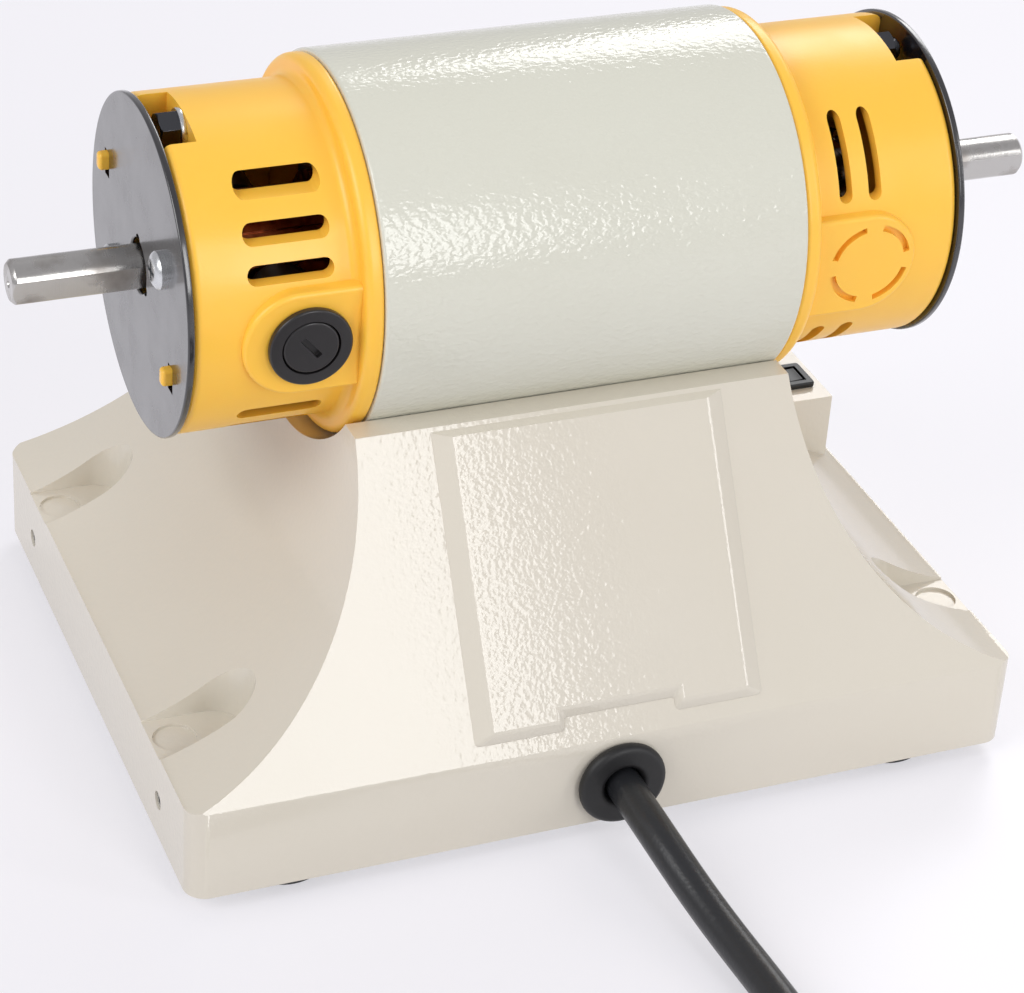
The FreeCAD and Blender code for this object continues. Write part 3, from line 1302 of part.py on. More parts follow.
def arc_edge(start, tangent_at_start, end):
    """The one arc that leaves start along its tangent and reaches end."""
    chord = end - start
    side = chord - tangent_at_start * chord.dot(tangent_at_start)
    if side.Length < 1e-6:
        return Part.LineSegment(start, end).toShape()
    side.normalize()
    radius = chord.dot(chord) / (2 * chord.dot(side))
    centre = start + side * radius
    through = (start + end) * 0.5 - centre
    if chord.dot(tangent_at_start) < 0:
        through = through * -1
    through.normalize()
    return Part.Arc(start, centre + through * abs(radius), end).toShape()


def biarc(start, leave, end, arrive):
    """Two arcs that join two points and keep the direction at both."""
    gap = end - start
    both = leave + arrive
    spread = 2 * (1 - leave.dot(arrive))
    along = gap.dot(both)
    reach = (-along + math.sqrt(along * along + spread * gap.dot(gap))) / spread
    knee_a = start + leave * reach
    knee_b = end - arrive * reach
    join = (knee_a + knee_b) * 0.5
    middle_way = (knee_b - knee_a).normalize()
    return [arc_edge(start, leave, join), arc_edge(join, middle_way, end)]


def rounded_route(label, points):
    """Straight runs joined by tangent arcs as large as the runs allow."""
    points = [Vector(*point) for point in points]
    edges = []
    radii = []
    here = points[0]
    for before, corner, after in zip(points, points[1:], points[2:]):
        arriving = (corner - before).normalize()
        leaving = (after - corner).normalize()
        reach = 0.45 * min((corner - before).Length, (after - corner).Length)
        half_turn = arriving.getAngle(leaving) / 2
        radii.append(reach / math.tan(half_turn))
        first = corner - arriving * reach
        second = corner + leaving * reach
        edges.append(Part.LineSegment(here, first).toShape())
        edges.append(arc_edge(first, arriving, second))
        here = second
    edges.append(Part.LineSegment(here, points[-1]).toShape())
    print(label, "radii", [round(radius, 1) for radius in radii])
    return Part.Wire(edges)


def tube_along(label, wire, first_direction):
    """Round tube of the cord's section along a wire, compared with section times length."""
    start = wire.Edges[0].valueAt(wire.Edges[0].FirstParameter)
    section = Part.Wire(Part.Circle(start, first_direction, number(S.cord_radius)).toShape())
    shell = Part.BRepOffsetAPI.MakePipeShell(wire)
    shell.add(section)
    shell.build()
    shell.makeSolid()
    solid = Part.Solid(shell.shape()) if shell.shape().ShapeType != "Solid" else shell.shape()
    expected = math.pi * number(S.cord_radius) ** 2 * wire.Length
    print(label, "length", round(wire.Length, 1), "volume", round(solid.Volume, 1),
          "expected", round(expected, 1))
    tube = doc.addObject("Part::Feature", label)
    tube.Label = label
    tube.Shape = solid
    place(tube, SHIFT_X, 0, 0)
    PARTS.append(tube)
    return tube


def direction(points):
    return Vector(*points[1]) - Vector(*points[0])


def smooth(share):
    share = min(max(share, 0.0), 1.0)
    return share * share * (3 - 2 * share)


def coil_point(turns):
    """Spirals in, climbs a layer in the half turn about the middle, and spirals out."""
    half = number(S.coil_turns) / 2
    radius = COIL_OUTER - number(S.coil_pitch) * (half - abs(turns - half))
    angle = math.pi - 2 * math.pi * turns
    rise = number(S.coil_step) * smooth((turns - half) / 0.5 + 0.5)
    return Vector(number(S.coil_x) + radius * math.cos(angle),
                  COIL_Y + radius * math.sin(angle), CORD_Z + rise)


def coil_direction(turns):
    """Direction of the coil, level and square to its ends where it starts and stops."""
    if turns <= 0:
        return Vector(0, 1, 0)
    if turns >= number(S.coil_turns):
        return Vector(1, 0, 0)
    step = 1e-4
    return (coil_point(turns + step) - coil_point(turns - step)).normalize()


def power_cord_coil():
    count = int(round(number(S.coil_turns) * 4))
    marks = [number(S.coil_turns) * i / count for i in range(count + 1)]
    first = coil_point(0)
    last = coil_point(marks[-1])
    edges = [Part.LineSegment(first - coil_direction(0) * CORD_WIDE, first).toShape()]
    for before, after in zip(marks, marks[1:]):
        edges += biarc(coil_point(before), coil_direction(before),
                       coil_point(after), coil_direction(after))
    edges.append(Part.LineSegment(last, last + coil_direction(marks[-1]) * CORD_WIDE).toShape())
    wire = Part.Wire(edges)
    print("coil least gap", round(least_gap(wire), 2))
    tube_along("power_cord_coil", wire, coil_direction(0))


def least_gap(wire):
    """Smallest clear space between stretches of the coil at least a third of a turn apart."""
    points = wire.discretize(Distance=4.0)
    apart = int(math.pi * 2 * number(S.coil_mid) / 3 / 4.0)
    least = min(a.distanceToPoint(b) for i, a in enumerate(points) for b in points[i + apart:])
    return least - CORD_WIDE


def mains_lead():
    for label, route in (("power_cord", CORD_ROUTE), ("mains_lead_inner", INNER_ROUTE),
                         ("power_cord_tail", tail_route())):
        tube_along(label, rounded_route(label, route), direction(route))
    power_cord_coil()


def cord_clamp():
    """Clip round the lead behind the outlet, standing on the cover."""
    body = new_body("cord_clamp", SHIFT_X, HALF_DEPTH - S.clamp_inset, FLOOR + S.outlet_height)
    bore = S.cord_radius + S.cord_bore_gap
    ring = sketch(body, "XZ")
    circle(ring, 0, 0, bore + S.clamp_wall)
    pad(body, ring, S.clamp_width, both=True)
    foot = sketch(body, "XZ")
    rectangle(foot, -S.clamp_foot / 2, S.clamp_foot / 2, S.cover_thickness - S.outlet_height,
              S.cover_thickness - S.outlet_height + S.clamp_wall)
    pad(body, foot, S.clamp_width, both=True)
    neck = sketch(body, "XZ")
    rectangle(neck, -bore, bore, S.cover_thickness - S.outlet_height, S.outlet_height * 0)
    pad(body, neck, S.clamp_width, both=True)
    hole = sketch(body, "XZ")
    circle(hole, 0, 0, bore)
    cut(body, hole, both=True)


def mains_plug():
    """Moulded plug lying on the surface: tapered relief, body and three pins."""
    end = Vector(*tail_route()[-1])
    angle = number(S.plug_turn)
    body = new_body("mains_plug_body", SHIFT_X + end.x, end.y, end.z)
    half_high = S.cord_radius + S.cord_rest + S.coil_step - S.cord_rest
    relief = sketch(body, "XZ")
    outline(relief, [
        (0, 0), (0, S.cord_radius + 1), (S.plug_relief, S.cord_radius + 3),
        (S.plug_relief + 2, S.cord_radius + 3), (S.plug_relief + 2, 0)])
    turn(body, relief)
    block = sketch(body, "XY")
    back = S.plug_relief
    front = S.plug_relief + S.plug_length
    outline(block, [
        (back, -S.plug_nose / 2), (back + S.plug_length / 3, -S.plug_width / 2),
        (front, -S.plug_width / 2), (front, S.plug_width / 2),
        (back + S.plug_length / 3, S.plug_width / 2), (back, S.plug_nose / 2)])
    pad(body, block, 2 * half_high, both=True)
    dress(body, "Fillet", S.cord_radius, lambda edge: long_plug_edge(edge, half_high))
    pins = new_body("mains_plug_pins", SHIFT_X + end.x, end.y, end.z)
    for side in (1, -1):
        blade = sketch(pins, "YZ", at=front - 4)
        centre = side * S.pin_spacing / 2
        rectangle(blade, centre - S.pin_thickness / 2, centre + S.pin_thickness / 2,
                  -S.pin_width / 2 + 2, S.pin_width / 2 + 2)
        pad(pins, blade, S.pin_length + 4, toward=1)
    earth = sketch(pins, "YZ", at=front - 4)
    circle(earth, 0, -S.earth_pin_drop, S.earth_pin_radius)
    pad(pins, earth, S.pin_length + S.earth_pin_extra + 4, toward=1)
    bridge = sketch(pins, "YZ", at=front - 6)
    rectangle(bridge, -S.pin_spacing / 2 - 1, S.pin_spacing / 2 + 1, -S.earth_pin_drop - 2,
              S.pin_width / 2 + 2)
    pad(pins, bridge, S.pin_thickness * 2, toward=1)
    for item in (body, pins):
        item.Placement = Placement(item.Placement.Base, Rotation(Vector(0, 0, 1), angle))
        item.setExpression("Placement.Rotation.Angle", S.plug_turn.text)


def long_plug_edge(edge, half_high):
    point = middle(edge)
    return near(abs(point.z), half_high) and abs(edge.tangentAt(edge.FirstParameter).x) > 0.5


def finish():
    doc.recompute()
    os.makedirs("parts", exist_ok=True)
    for item in doc.Objects:
        if "Invalid" in item.State or "Error" in item.State:
            raise RuntimeError("%s is %s" % (item.Name, item.State))
    for part in PARTS:
        shape = part.Shape
        if shape.isNull() or not shape.isValid():
            raise RuntimeError(part.Label + " has no valid shape")
        print(part.Label, "solids", len(shape.Solids), "volume", round(shape.Volume, 1))
        shape.exportStep("parts/%s.step" % part.Label)


pedestal_casting()
bottom_cover()
side_screws()
rubber_feet()
cord_grommet()
motor_tube()
stator_core()
field_coils()
brush_end_cap()
fan_end_cap()
end_plates()
through_bolts()
motor_mount_screws()
spindle_shaft()
armature_core()
armature_windings()
commutator()
cooling_fan()
bearings()
brush_gear()
rocker_switch()
speed_control()
control_board()
mains_lead()
cord_clamp()
mains_plug()
finish()
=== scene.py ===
# %% [markdown]
# # Dental polishing lathe
# A bench motor with a shaft at both ends sits in the saddle of a cast pedestal. Technicians push
# polishing mops on the two shaft ends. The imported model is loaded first, because every piece
# below takes its place and its moving body from it.

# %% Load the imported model
import math

import bmesh
import bpy
from mathutils import Matrix, Vector


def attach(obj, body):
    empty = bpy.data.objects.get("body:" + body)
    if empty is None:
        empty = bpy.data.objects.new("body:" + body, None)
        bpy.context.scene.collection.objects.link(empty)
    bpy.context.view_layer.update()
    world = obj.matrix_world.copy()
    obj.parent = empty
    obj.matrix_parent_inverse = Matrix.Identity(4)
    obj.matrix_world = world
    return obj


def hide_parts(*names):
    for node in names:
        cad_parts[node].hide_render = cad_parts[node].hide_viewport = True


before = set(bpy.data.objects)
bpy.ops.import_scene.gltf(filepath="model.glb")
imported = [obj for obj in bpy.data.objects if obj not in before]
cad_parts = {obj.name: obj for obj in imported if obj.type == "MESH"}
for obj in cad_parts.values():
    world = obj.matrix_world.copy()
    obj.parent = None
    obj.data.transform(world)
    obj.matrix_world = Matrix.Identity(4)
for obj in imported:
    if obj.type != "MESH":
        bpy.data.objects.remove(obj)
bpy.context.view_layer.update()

MM = 0.001

# %% [markdown]
# ## The camera
# The photograph looks down on the rear of the machine, from the side of the brush end. Camera
# place and lens were solved from straight edges and circles of known size, so this is a long
# lens a little under a metre away. Heading turns about Z, tilt about the camera's own X, and the
# last small turn is the roll of a hand-held picture.

# %% Place the camera
CAMERA_PLACE = Vector((259.3, 584.8, 443.1)) * MM
CAMERA_HEADING = 156.26
CAMERA_TILT = -32.17
CAMERA_ROLL = 4.03
SENSOR_WIDTH = 36.0
LENS = 110.5

camera_data = bpy.data.cameras.new("camera")
camera_data.sensor_width = SENSOR_WIDTH
camera_data.lens = LENS
camera_data.clip_end = 20.0
camera = bpy.data.objects.new("camera", camera_data)
bpy.context.collection.objects.link(camera)
turn = Matrix.Rotation(math.radians(CAMERA_HEADING), 4, "Z")
tilt = Matrix.Rotation(math.radians(90 + CAMERA_TILT), 4, "X")
roll = Matrix.Rotation(math.radians(CAMERA_ROLL), 4, "Z")
camera.matrix_world = Matrix.Translation(CAMERA_PLACE) @ turn @ tilt @ roll
bpy.context.scene.camera = camera

# %% [markdown]
# ## Driving sizes
# All in millimetres from the middle of the base, on the surface that the feet stand on. The
# machine's box is a little off the middle of the base, because one shaft end is longer.

# %% Sizes that several pieces share
BASE_X = 5.75
FOOT = 4.0
AXIS_Z = 117.0
BASE_HALF_X = 100.3
BASE_HALF_Y = 79.0
BAND_TOP = 26.5
SADDLE_TOP = 90.5
CORD_WIDE = 8.4
OUTLET_Z = 15.2


def place(x, y, z):
    """A point given in millimetres from the middle of the base, in metres in the row frame."""
    return Vector((x + BASE_X, y, z)) * MM


# %% [markdown]
# ## The mains lead
# A round rubber-sheathed lead leaves the bush in the rear wall, bends down to the bench and runs
# out of the picture. The rest of its length is wound in a flat coil, as for storage. A cord is
# one smooth curve, so all of it is a single NURBS line: the listed points of the free run,
# the turns of the coil from a formula, and the short tail to the plug.

# %% Route of the lead
CORD_Z = 4.3
COIL_CENTRE = Vector((52.7, 225.0))
COIL_TURNS = 6.25
COIL_PITCH = 9.0
COIL_MIDDLE = 46.2
COIL_STEP = 8.9
COIL_OUTER = COIL_MIDDLE + COIL_PITCH * COIL_TURNS / 4
COIL_POINTS_PER_TURN = 16
PLUG_TURN = -14.0

free_run = [
    (0, 70, OUTLET_Z), (0, 93, OUTLET_Z), (-5, 118, 6.6), (-8.5, 146, CORD_Z),
    (-9.5, 176, CORD_Z), (COIL_CENTRE.x - COIL_OUTER, 200, CORD_Z),
    (COIL_CENTRE.x - COIL_OUTER, 225 - CORD_WIDE, CORD_Z)]


def coil_point(turns):
    """Spirals in, climbs one layer where it turns back, and spirals out above itself."""
    half = COIL_TURNS / 2
    radius = COIL_OUTER - COIL_PITCH * (half - abs(turns - half))
    angle = math.pi - 2 * math.pi * turns
    share = min(max((turns - half) / 0.5 + 0.5, 0.0), 1.0)
    rise = COIL_STEP * share * share * (3 - 2 * share)
    # A NURBS line touches the middles of its runs, a little inside its points.
    outward = 1 / math.cos(math.pi / COIL_POINTS_PER_TURN)
    return (COIL_CENTRE.x + radius * outward * math.cos(angle),
            COIL_CENTRE.y + radius * outward * math.sin(angle), CORD_Z + rise)


coil_count = round(COIL_TURNS * COIL_POINTS_PER_TURN)
coil_run = [coil_point(COIL_TURNS * i / coil_count) for i in range(coil_count + 1)]
tail_start = Vector((COIL_CENTRE.x + CORD_WIDE, COIL_CENTRE.y + COIL_OUTER, CORD_Z + COIL_STEP))
tail_bend = tail_start + Vector((28, 0, 0))
plug_angle = math.radians(PLUG_TURN)
plug_entry = tail_bend + Vector((math.cos(plug_angle), math.sin(plug_angle), 0)) * 30
cord_points = free_run + coil_run + [tuple(tail_start), tuple(tail_bend), tuple(plug_entry)]
print("points along the lead", len(cord_points))

# %% The lead as one NURBS line
cord_curve = bpy.data.curves.new("mains_lead", "CURVE")
cord_curve.dimensions = "3D"
cord_curve.bevel_depth = CORD_WIDE / 2 * MM
cord_curve.bevel_resolution = 5
cord_curve.resolution_u = 6
cord_curve.use_fill_caps = True
spline = cord_curve.splines.new("NURBS")
spline.points.add(len(cord_points) - 1)
for point, where in zip(spline.points, cord_points):
    point.co = (*place(*where), 1.0)
spline.order_u = 3
spline.use_endpoint_u = True
mains_lead = bpy.data.objects.new("mains_lead", cord_curve)
bpy.context.collection.objects.link(mains_lead)


def curve_length(points):
    return sum((Vector(b) - Vector(a)).length for a, b in zip(points, points[1:]))


print("runs of the lead add up to", round(curve_length(cord_points) * MM, 3), "m")

# %% [markdown]
# ## Hand tools
# Every solid below starts as a primitive and is shaped with the same few moves that a modeller
# makes by hand: draw a string of edges and spin it, or fill and extrude it, cut one solid with
# another, and round what is left sharp.

# %% Select nothing, or one object
def select_nothing():
    for other in bpy.context.selected_objects:
        other.select_set(False)


def focus(piece):
    select_nothing()
    piece.select_set(True)
    bpy.context.view_layer.objects.active = piece


def apply_modifier(piece, kind, **settings):
    focus(piece)
    modifier = piece.modifiers.new(kind.lower(), kind)
    for key, value in settings.items():
        setattr(modifier, key, value)
    bpy.ops.object.modifier_apply(modifier=modifier.name)
    return piece


# %% Draw a string of edges from one point
def draw(name, points, closed=False):
    """A plane merged to one point, then extruded from corner to corner."""
    select_nothing()
    start = place(*points[0])
    bpy.ops.mesh.primitive_plane_add(size=MM, location=start)
    piece = bpy.context.object
    piece.name = name
    piece.data.name = name
    bpy.ops.object.transform_apply(location=True, rotation=False, scale=False)
    bpy.ops.object.mode_set(mode="EDIT")
    bpy.ops.mesh.select_mode(type="VERT")
    bpy.ops.mesh.select_all(action="SELECT")
    bpy.ops.mesh.merge(type="CENTER")
    for before, after in zip(points, points[1:]):
        step = place(*after) - place(*before)
        bpy.ops.mesh.extrude_region_move(TRANSFORM_OT_translate={"value": step})
    bpy.ops.mesh.select_all(action="SELECT")
    if closed:
        bpy.ops.mesh.edge_face_add()
    return piece


# %% Turn a profile on a lathe
def lathe(name, profile, centre=(0, 0, 0), axis="X", steps=96):
    """Profile points are (along the axis, radius). A closed profile makes a ring."""
    to_place = {"X": lambda a, r: (centre[0] + a, centre[1], centre[2] + r),
                "Y": lambda a, r: (centre[0], centre[1] + a, centre[2] + r),
                "Z": lambda a, r: (centre[0] + r, centre[1], centre[2] + a)}[axis]
    direction = {"X": (1, 0, 0), "Y": (0, 1, 0), "Z": (0, 0, 1)}[axis]
    piece = draw(name, [to_place(a, r) for a, r in profile])
    bpy.ops.mesh.spin(steps=steps, angle=2 * math.pi, center=place(*centre), axis=direction)
    bpy.ops.mesh.select_all(action="SELECT")
    bpy.ops.mesh.remove_doubles(threshold=0.002 * MM)
    bpy.ops.mesh.normals_make_consistent(inside=False)
    bpy.ops.object.mode_set(mode="OBJECT")
    return piece


# %% Fill an outline and extrude it
def prism(name, outline, plane, low, high):
    """Outline points lie in the plane, and the solid runs from low to high across it."""
    to_place = {"XY": lambda u, v: (u, v, low), "XZ": lambda u, v: (u, low, v),
                "YZ": lambda u, v: (low, u, v)}[plane]
    across = {"XY": (0, 0, 1), "XZ": (0, 1, 0), "YZ": (1, 0, 0)}[plane]
    piece = draw(name, [to_place(u, v) for u, v in outline], closed=True)
    depth = Vector(across) * (high - low) * MM
    bpy.ops.mesh.extrude_region_move(TRANSFORM_OT_translate={"value": depth})
    bpy.ops.mesh.select_all(action="SELECT")
    bpy.ops.mesh.normals_make_consistent(inside=False)
    bpy.ops.object.mode_set(mode="OBJECT")
    return piece


def block(name, low, high):
    outline = [(low[0], low[1]), (high[0], low[1]), (high[0], high[1]), (low[0], high[1])]
    return prism(name, outline, "XY", low[2], high[2])


def arc(centre_u, centre_v, radius, start, stop, steps=12):
    """Points along an arc, angles in degrees."""
    return [(centre_u + radius * math.cos(math.radians(start + (stop - start) * i / steps)),
             centre_v + radius * math.sin(math.radians(start + (stop - start) * i / steps)))
            for i in range(steps + 1)]


def circle_outline(u, v, radius, steps=48):
    return arc(u, v, radius, 0, 360, steps)[:-1]


def stadium(u0, u1, v0, v1, steps=10):
    """A slot with round ends, along its longer side."""
    if u1 - u0 >= v1 - v0:
        r = (v1 - v0) / 2
        return (arc(u1 - r, v0 + r, r, -90, 90, steps) + arc(u0 + r, v0 + r, r, 90, 270, steps))
    r = (u1 - u0) / 2
    return arc(u0 + r, v1 - r, r, 0, 180, steps) + arc(u0 + r, v0 + r, r, 180, 360, steps)


def round_box(u0, u1, v0, v1, r, steps=6):
    return (arc(u1 - r, v0 + r, r, -90, 0, steps) + arc(u1 - r, v1 - r, r, 0, 90, steps)
            + arc(u0 + r, v1 - r, r, 90, 180, steps) + arc(u0 + r, v0 + r, r, 180, 270, steps))


# %% Cut, join and round
def carve(piece, cutter, operation="DIFFERENCE"):
    apply_modifier(piece, "BOOLEAN", operation=operation, solver="EXACT", object=cutter)
    bpy.data.objects.remove(cutter)
    return piece


def weld(piece, other):
    return carve(piece, other, "UNION")


def ease(piece, width, segments=3, angle=30.0):
    """Rounds every edge that is sharper than the angle."""
    apply_modifier(piece, "BEVEL", width=width * MM, segments=segments, limit_method="ANGLE",
                   angle_limit=math.radians(angle), use_clamp_overlap=True, miter_outer="MITER_ARC")
    return piece


def polish(piece, angle=35.0):
    """Smooth shading, except across edges that are meant to be sharp."""
    focus(piece)
    bpy.ops.object.shade_smooth_by_angle(angle=math.radians(angle))
    return piece


def soften(profile, radius, steps=4):
    """Rounds the inner corners of an open profile, as far as its runs allow."""
    rounded = [profile[0]]
    for before, corner, after in zip(profile, profile[1:], profile[2:]):
        a, b, c = Vector(before), Vector(corner), Vector(after)
        first, second = a - b, c - b
        half = first.angle(second) / 2
        reach = min(radius / math.tan(half), first.length * 0.45, second.length * 0.45)
        if math.degrees(half) > 85:
            rounded.append(tuple(b))
            continue
        bend = reach * math.tan(half)
        centre = b + (first.normalized() + second.normalized()).normalized() * bend / math.sin(half)
        p, q = b + first.normalized() * reach - centre, b + second.normalized() * reach - centre
        sweep = math.atan2(p.x * q.y - p.y * q.x, p.dot(q))
        for i in range(steps + 1):
            turned = Matrix.Rotation(sweep * i / steps, 2) @ p
            rounded.append(tuple(centre + turned))
    return rounded + [profile[-1]]


def finish_piece(piece, body, material, slot, *nodes):
    """Gives a piece its finish and its body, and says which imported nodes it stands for."""
    piece.data.materials.clear()
    piece.data.materials.append(material)
    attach(piece, body)
    if nodes:
        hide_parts(*nodes)
    print(piece.name, "faces", len(piece.data.polygons) if piece.type == "MESH" else "curve")
    return piece


# %% [markdown]
# ## Finishes
# Each material starts from what the real one is and how its surface was made. Colours are sRGB
# hex values, and one function turns them to the linear values that the shader takes.

# %% Colour and node helpers
def tint(hex_colour):
    channels = [int(hex_colour[i:i + 2], 16) / 255 for i in (1, 3, 5)]
    linear = [c / 12.92 if c <= 0.04045 else ((c + 0.055) / 1.055) ** 2.4 for c in channels]
    return (*linear, 1.0)


def add(tree, kind, inputs=None, **settings):
    """Adds a node. An input is a plain value or another node's output socket."""
    node = tree.nodes.new("ShaderNode" + kind)
    for key, value in settings.items():
        setattr(node, key, value)
    for key, value in (inputs or {}).items():
        if isinstance(value, bpy.types.NodeSocket):
            tree.links.new(value, node.inputs[key])
        else:
            node.inputs[key].default_value = value
    return node


def new_material(name, colour, metallic=0.0, roughness=0.4, **sockets):
    """Starts a finish. Its last result is the spot on the piece, in metres."""
    material = bpy.data.materials.new(name)
    material.use_nodes = True
    tree = material.node_tree
    shader = tree.nodes["Principled BSDF"]
    shader.inputs["Base Color"].default_value = tint(colour)
    shader.inputs["Metallic"].default_value = metallic
    shader.inputs["Roughness"].default_value = roughness
    for key, value in sockets.items():
        shader.inputs[key.replace("_", " ")].default_value = value
    spot = add(tree, "TexCoord").outputs["Object"]
    return material, tree, shader, spot


# %% [markdown]
# **Cast aluminium in baked enamel.** The pedestal is a sand-textured casting under thick glossy
# enamel. The enamel mirrors a lamp almost sharply, and its shallow orange peel, with cells about
# a millimetre wide, breaks the edge of that mirror image into sparkling dots. The colour is an
# even warm grey-cream.

# %% Enamelled casting
def cast_enamel():
    material, tree, shader, spot = new_material("cast_enamel", "#D8D2C4", roughness=0.07)
    peel = add(tree, "TexNoise", {"Vector": spot, "Scale": 1 / (1.2 * MM), "Detail": 1.0})
    raised = add(tree, "Bump", {"Height": peel.outputs["Fac"], "Distance": 0.042 * MM,
                                "Strength": 1.0})
    tree.links.new(raised.outputs["Normal"], shader.inputs["Normal"])
    drift = add(tree, "TexNoise", {"Vector": spot, "Scale": 1 / (60 * MM)})
    cream = add(tree, "Mix", {"Factor": drift.outputs["Fac"], 6: tint("#D4CDBE"),
                              7: tint("#DAD4C7")}, data_type="RGBA")
    tree.links.new(cream.outputs[2], shader.inputs["Base Color"])
    return material


# %% [markdown]
# **Hammer-finish enamel.** The tube's paint holds silicone that pulls it into shallow dimples,
# longer than they are wide, in a slightly greener ivory than the casting.

# %% Hammered tube paint
def hammer_enamel():
    material, tree, shader, spot = new_material("hammer_enamel", "#D5D4C6", roughness=0.1)
    pulled = add(tree, "Mapping", {"Vector": spot, "Scale": (0.7, 1.0, 1.0)})
    cells = add(tree, "TexNoise", {"Vector": pulled.outputs["Vector"], "Scale": 1 / (1.15 * MM),
                                   "Detail": 1.0, "Distortion": 0.3})
    raised = add(tree, "Bump", {"Height": cells.outputs["Fac"], "Distance": 0.15 * MM,
                                "Strength": 1.0})
    tree.links.new(raised.outputs["Normal"], shader.inputs["Normal"])
    drift = add(tree, "TexNoise", {"Vector": spot, "Scale": 1 / (45 * MM)})
    ivory = add(tree, "Mix", {"Factor": drift.outputs["Fac"], 6: tint("#D2D1C3"),
                              7: tint("#D7D7CA")}, data_type="RGBA")
    tree.links.new(ivory.outputs[2], shader.inputs["Base Color"])
    return material


# %% [markdown]
# **Moulded nylon.** The end caps are injection moulded in a warm golden yellow. The surface is
# even and slightly waxy, light sinks in a little, and shadows turn orange.

# %% Yellow nylon
def yellow_nylon():
    material, tree, shader, spot = new_material(
        "yellow_nylon", "#FEC547", roughness=0.33, Subsurface_Weight=0.12,
        Subsurface_Scale=2.0 * MM, Subsurface_Radius=(1.0, 0.45, 0.1))
    grain = add(tree, "TexNoise", {"Vector": spot, "Scale": 1 / (0.6 * MM), "Detail": 2.0})
    raised = add(tree, "Bump", {"Height": grain.outputs["Fac"], "Distance": 0.03 * MM,
                                "Strength": 0.6})
    tree.links.new(raised.outputs["Normal"], shader.inputs["Normal"])
    sheen = add(tree, "TexNoise", {"Vector": spot, "Scale": 1 / (14 * MM), "Detail": 2.0})
    waxy = add(tree, "MapRange", {"Value": sheen.outputs["Fac"], "From Min": 0.3,
                                  "From Max": 0.7, "To Min": 0.28, "To Max": 0.38})
    tree.links.new(waxy.outputs["Result"], shader.inputs["Roughness"])
    return material


# %% [markdown]
# **Black paint on sheet steel.** The end plates are pressed from sheet and dipped in black
# paint that dries glossy, with a faint ripple.

# %% Painted plate
def plate_paint():
    material, tree, shader, spot = new_material(
        "plate_paint", "#16151A", roughness=0.24, IOR=1.6, Coat_Weight=0.7, Coat_IOR=1.6,
        Coat_Roughness=0.12)
    ripple = add(tree, "TexNoise", {"Vector": spot, "Scale": 1 / (5 * MM), "Detail": 2.0})
    raised = add(tree, "Bump", {"Height": ripple.outputs["Fac"], "Distance": 0.05 * MM,
                                "Strength": 0.4})
    tree.links.new(raised.outputs["Normal"], shader.inputs["Normal"])
    dust = add(tree, "TexNoise", {"Vector": spot, "Scale": 1 / (12 * MM), "Detail": 4.0})
    hazy = add(tree, "MapRange", {"Value": dust.outputs["Fac"], "From Min": 0.35,
                                  "From Max": 0.7, "To Min": 0.2, "To Max": 0.32})
    tree.links.new(hazy.outputs["Result"], shader.inputs["Roughness"])
    return material


# %% [markdown]
# **Ground steel.** The shaft is ground round, so its marks run round it, and a thin film of oil
# dulls it in patches. The marks are finer than the render can show, so they are drawn three
# times as coarse.

# %% Ground steel
def ground_steel():
    material, tree, shader, spot = new_material("ground_steel", "#BDBAB6", metallic=1.0,
                                                roughness=0.24)
    apart = add(tree, "SeparateXYZ", {"Vector": spot})
    along = add(tree, "Math", {0: apart.outputs["X"], 1: 1 / (0.3 * MM)}, operation="MULTIPLY")
    marks = add(tree, "TexNoise", {"W": along.outputs[0], "Scale": 1.0, "Detail": 2.0},
                noise_dimensions="1D")
    raised = add(tree, "Bump", {"Height": marks.outputs["Fac"], "Distance": 0.02 * MM,
                                "Strength": 0.5})
    tree.links.new(raised.outputs["Normal"], shader.inputs["Normal"])
    film = add(tree, "TexNoise", {"Vector": spot, "Scale": 1 / (7 * MM), "Detail": 4.0})
    dull = add(tree, "MapRange", {"Value": film.outputs["Fac"], "From Min": 0.45,
                                  "From Max": 0.7, "To Min": 0.2, "To Max": 0.38})
    tree.links.new(dull.outputs["Result"], shader.inputs["Roughness"])
    stain = add(tree, "MapRange", {"Value": film.outputs["Fac"], "From Min": 0.5,
                                   "From Max": 0.8})
    grey = add(tree, "Mix", {"Factor": stain.outputs["Result"], 6: tint("#C2C0BD"),
                             7: tint("#97908A")}, data_type="RGBA")
    tree.links.new(grey.outputs[2], shader.inputs["Base Color"])
    return material


# %% [markdown]
# **Plated and blackened hardware.** Small turned steel: bright and slightly blue where it is
# zinc plated, near black and oily where it is blackened. The gloss wanders a little, as it does
# on parts that were plated loose in a drum.

# %% Plated metal
def plated_metal(name, colour, roughness):
    material, tree, shader, spot = new_material(name, colour, metallic=1.0, roughness=roughness)
    wear = add(tree, "TexNoise", {"Vector": spot, "Scale": 1 / (1.5 * MM)})
    gloss = add(tree, "MapRange", {"Value": wear.outputs["Fac"], "To Min": roughness * 0.7,
                                   "To Max": roughness * 1.5})
    tree.links.new(gloss.outputs["Result"], shader.inputs["Roughness"])
    return material


# %% [markdown]
# **Rubber, phenolic and switch plastics.** All are moulded black, but not alike: the lead's
# rubber has a soft sheen and a fine pebble, the brush caps are glossy phenolic, and the switch
# and knob are satin.

# %% Black mouldings
def black_moulding(name, colour, roughness, grain, depth):
    material, tree, shader, spot = new_material(name, colour, roughness=roughness)
    pebble = add(tree, "TexNoise", {"Vector": spot, "Scale": 1 / grain, "Detail": 3.0})
    raised = add(tree, "Bump", {"Height": pebble.outputs["Fac"], "Distance": depth,
                                "Strength": 0.6})
    tree.links.new(raised.outputs["Normal"], shader.inputs["Normal"])
    return material


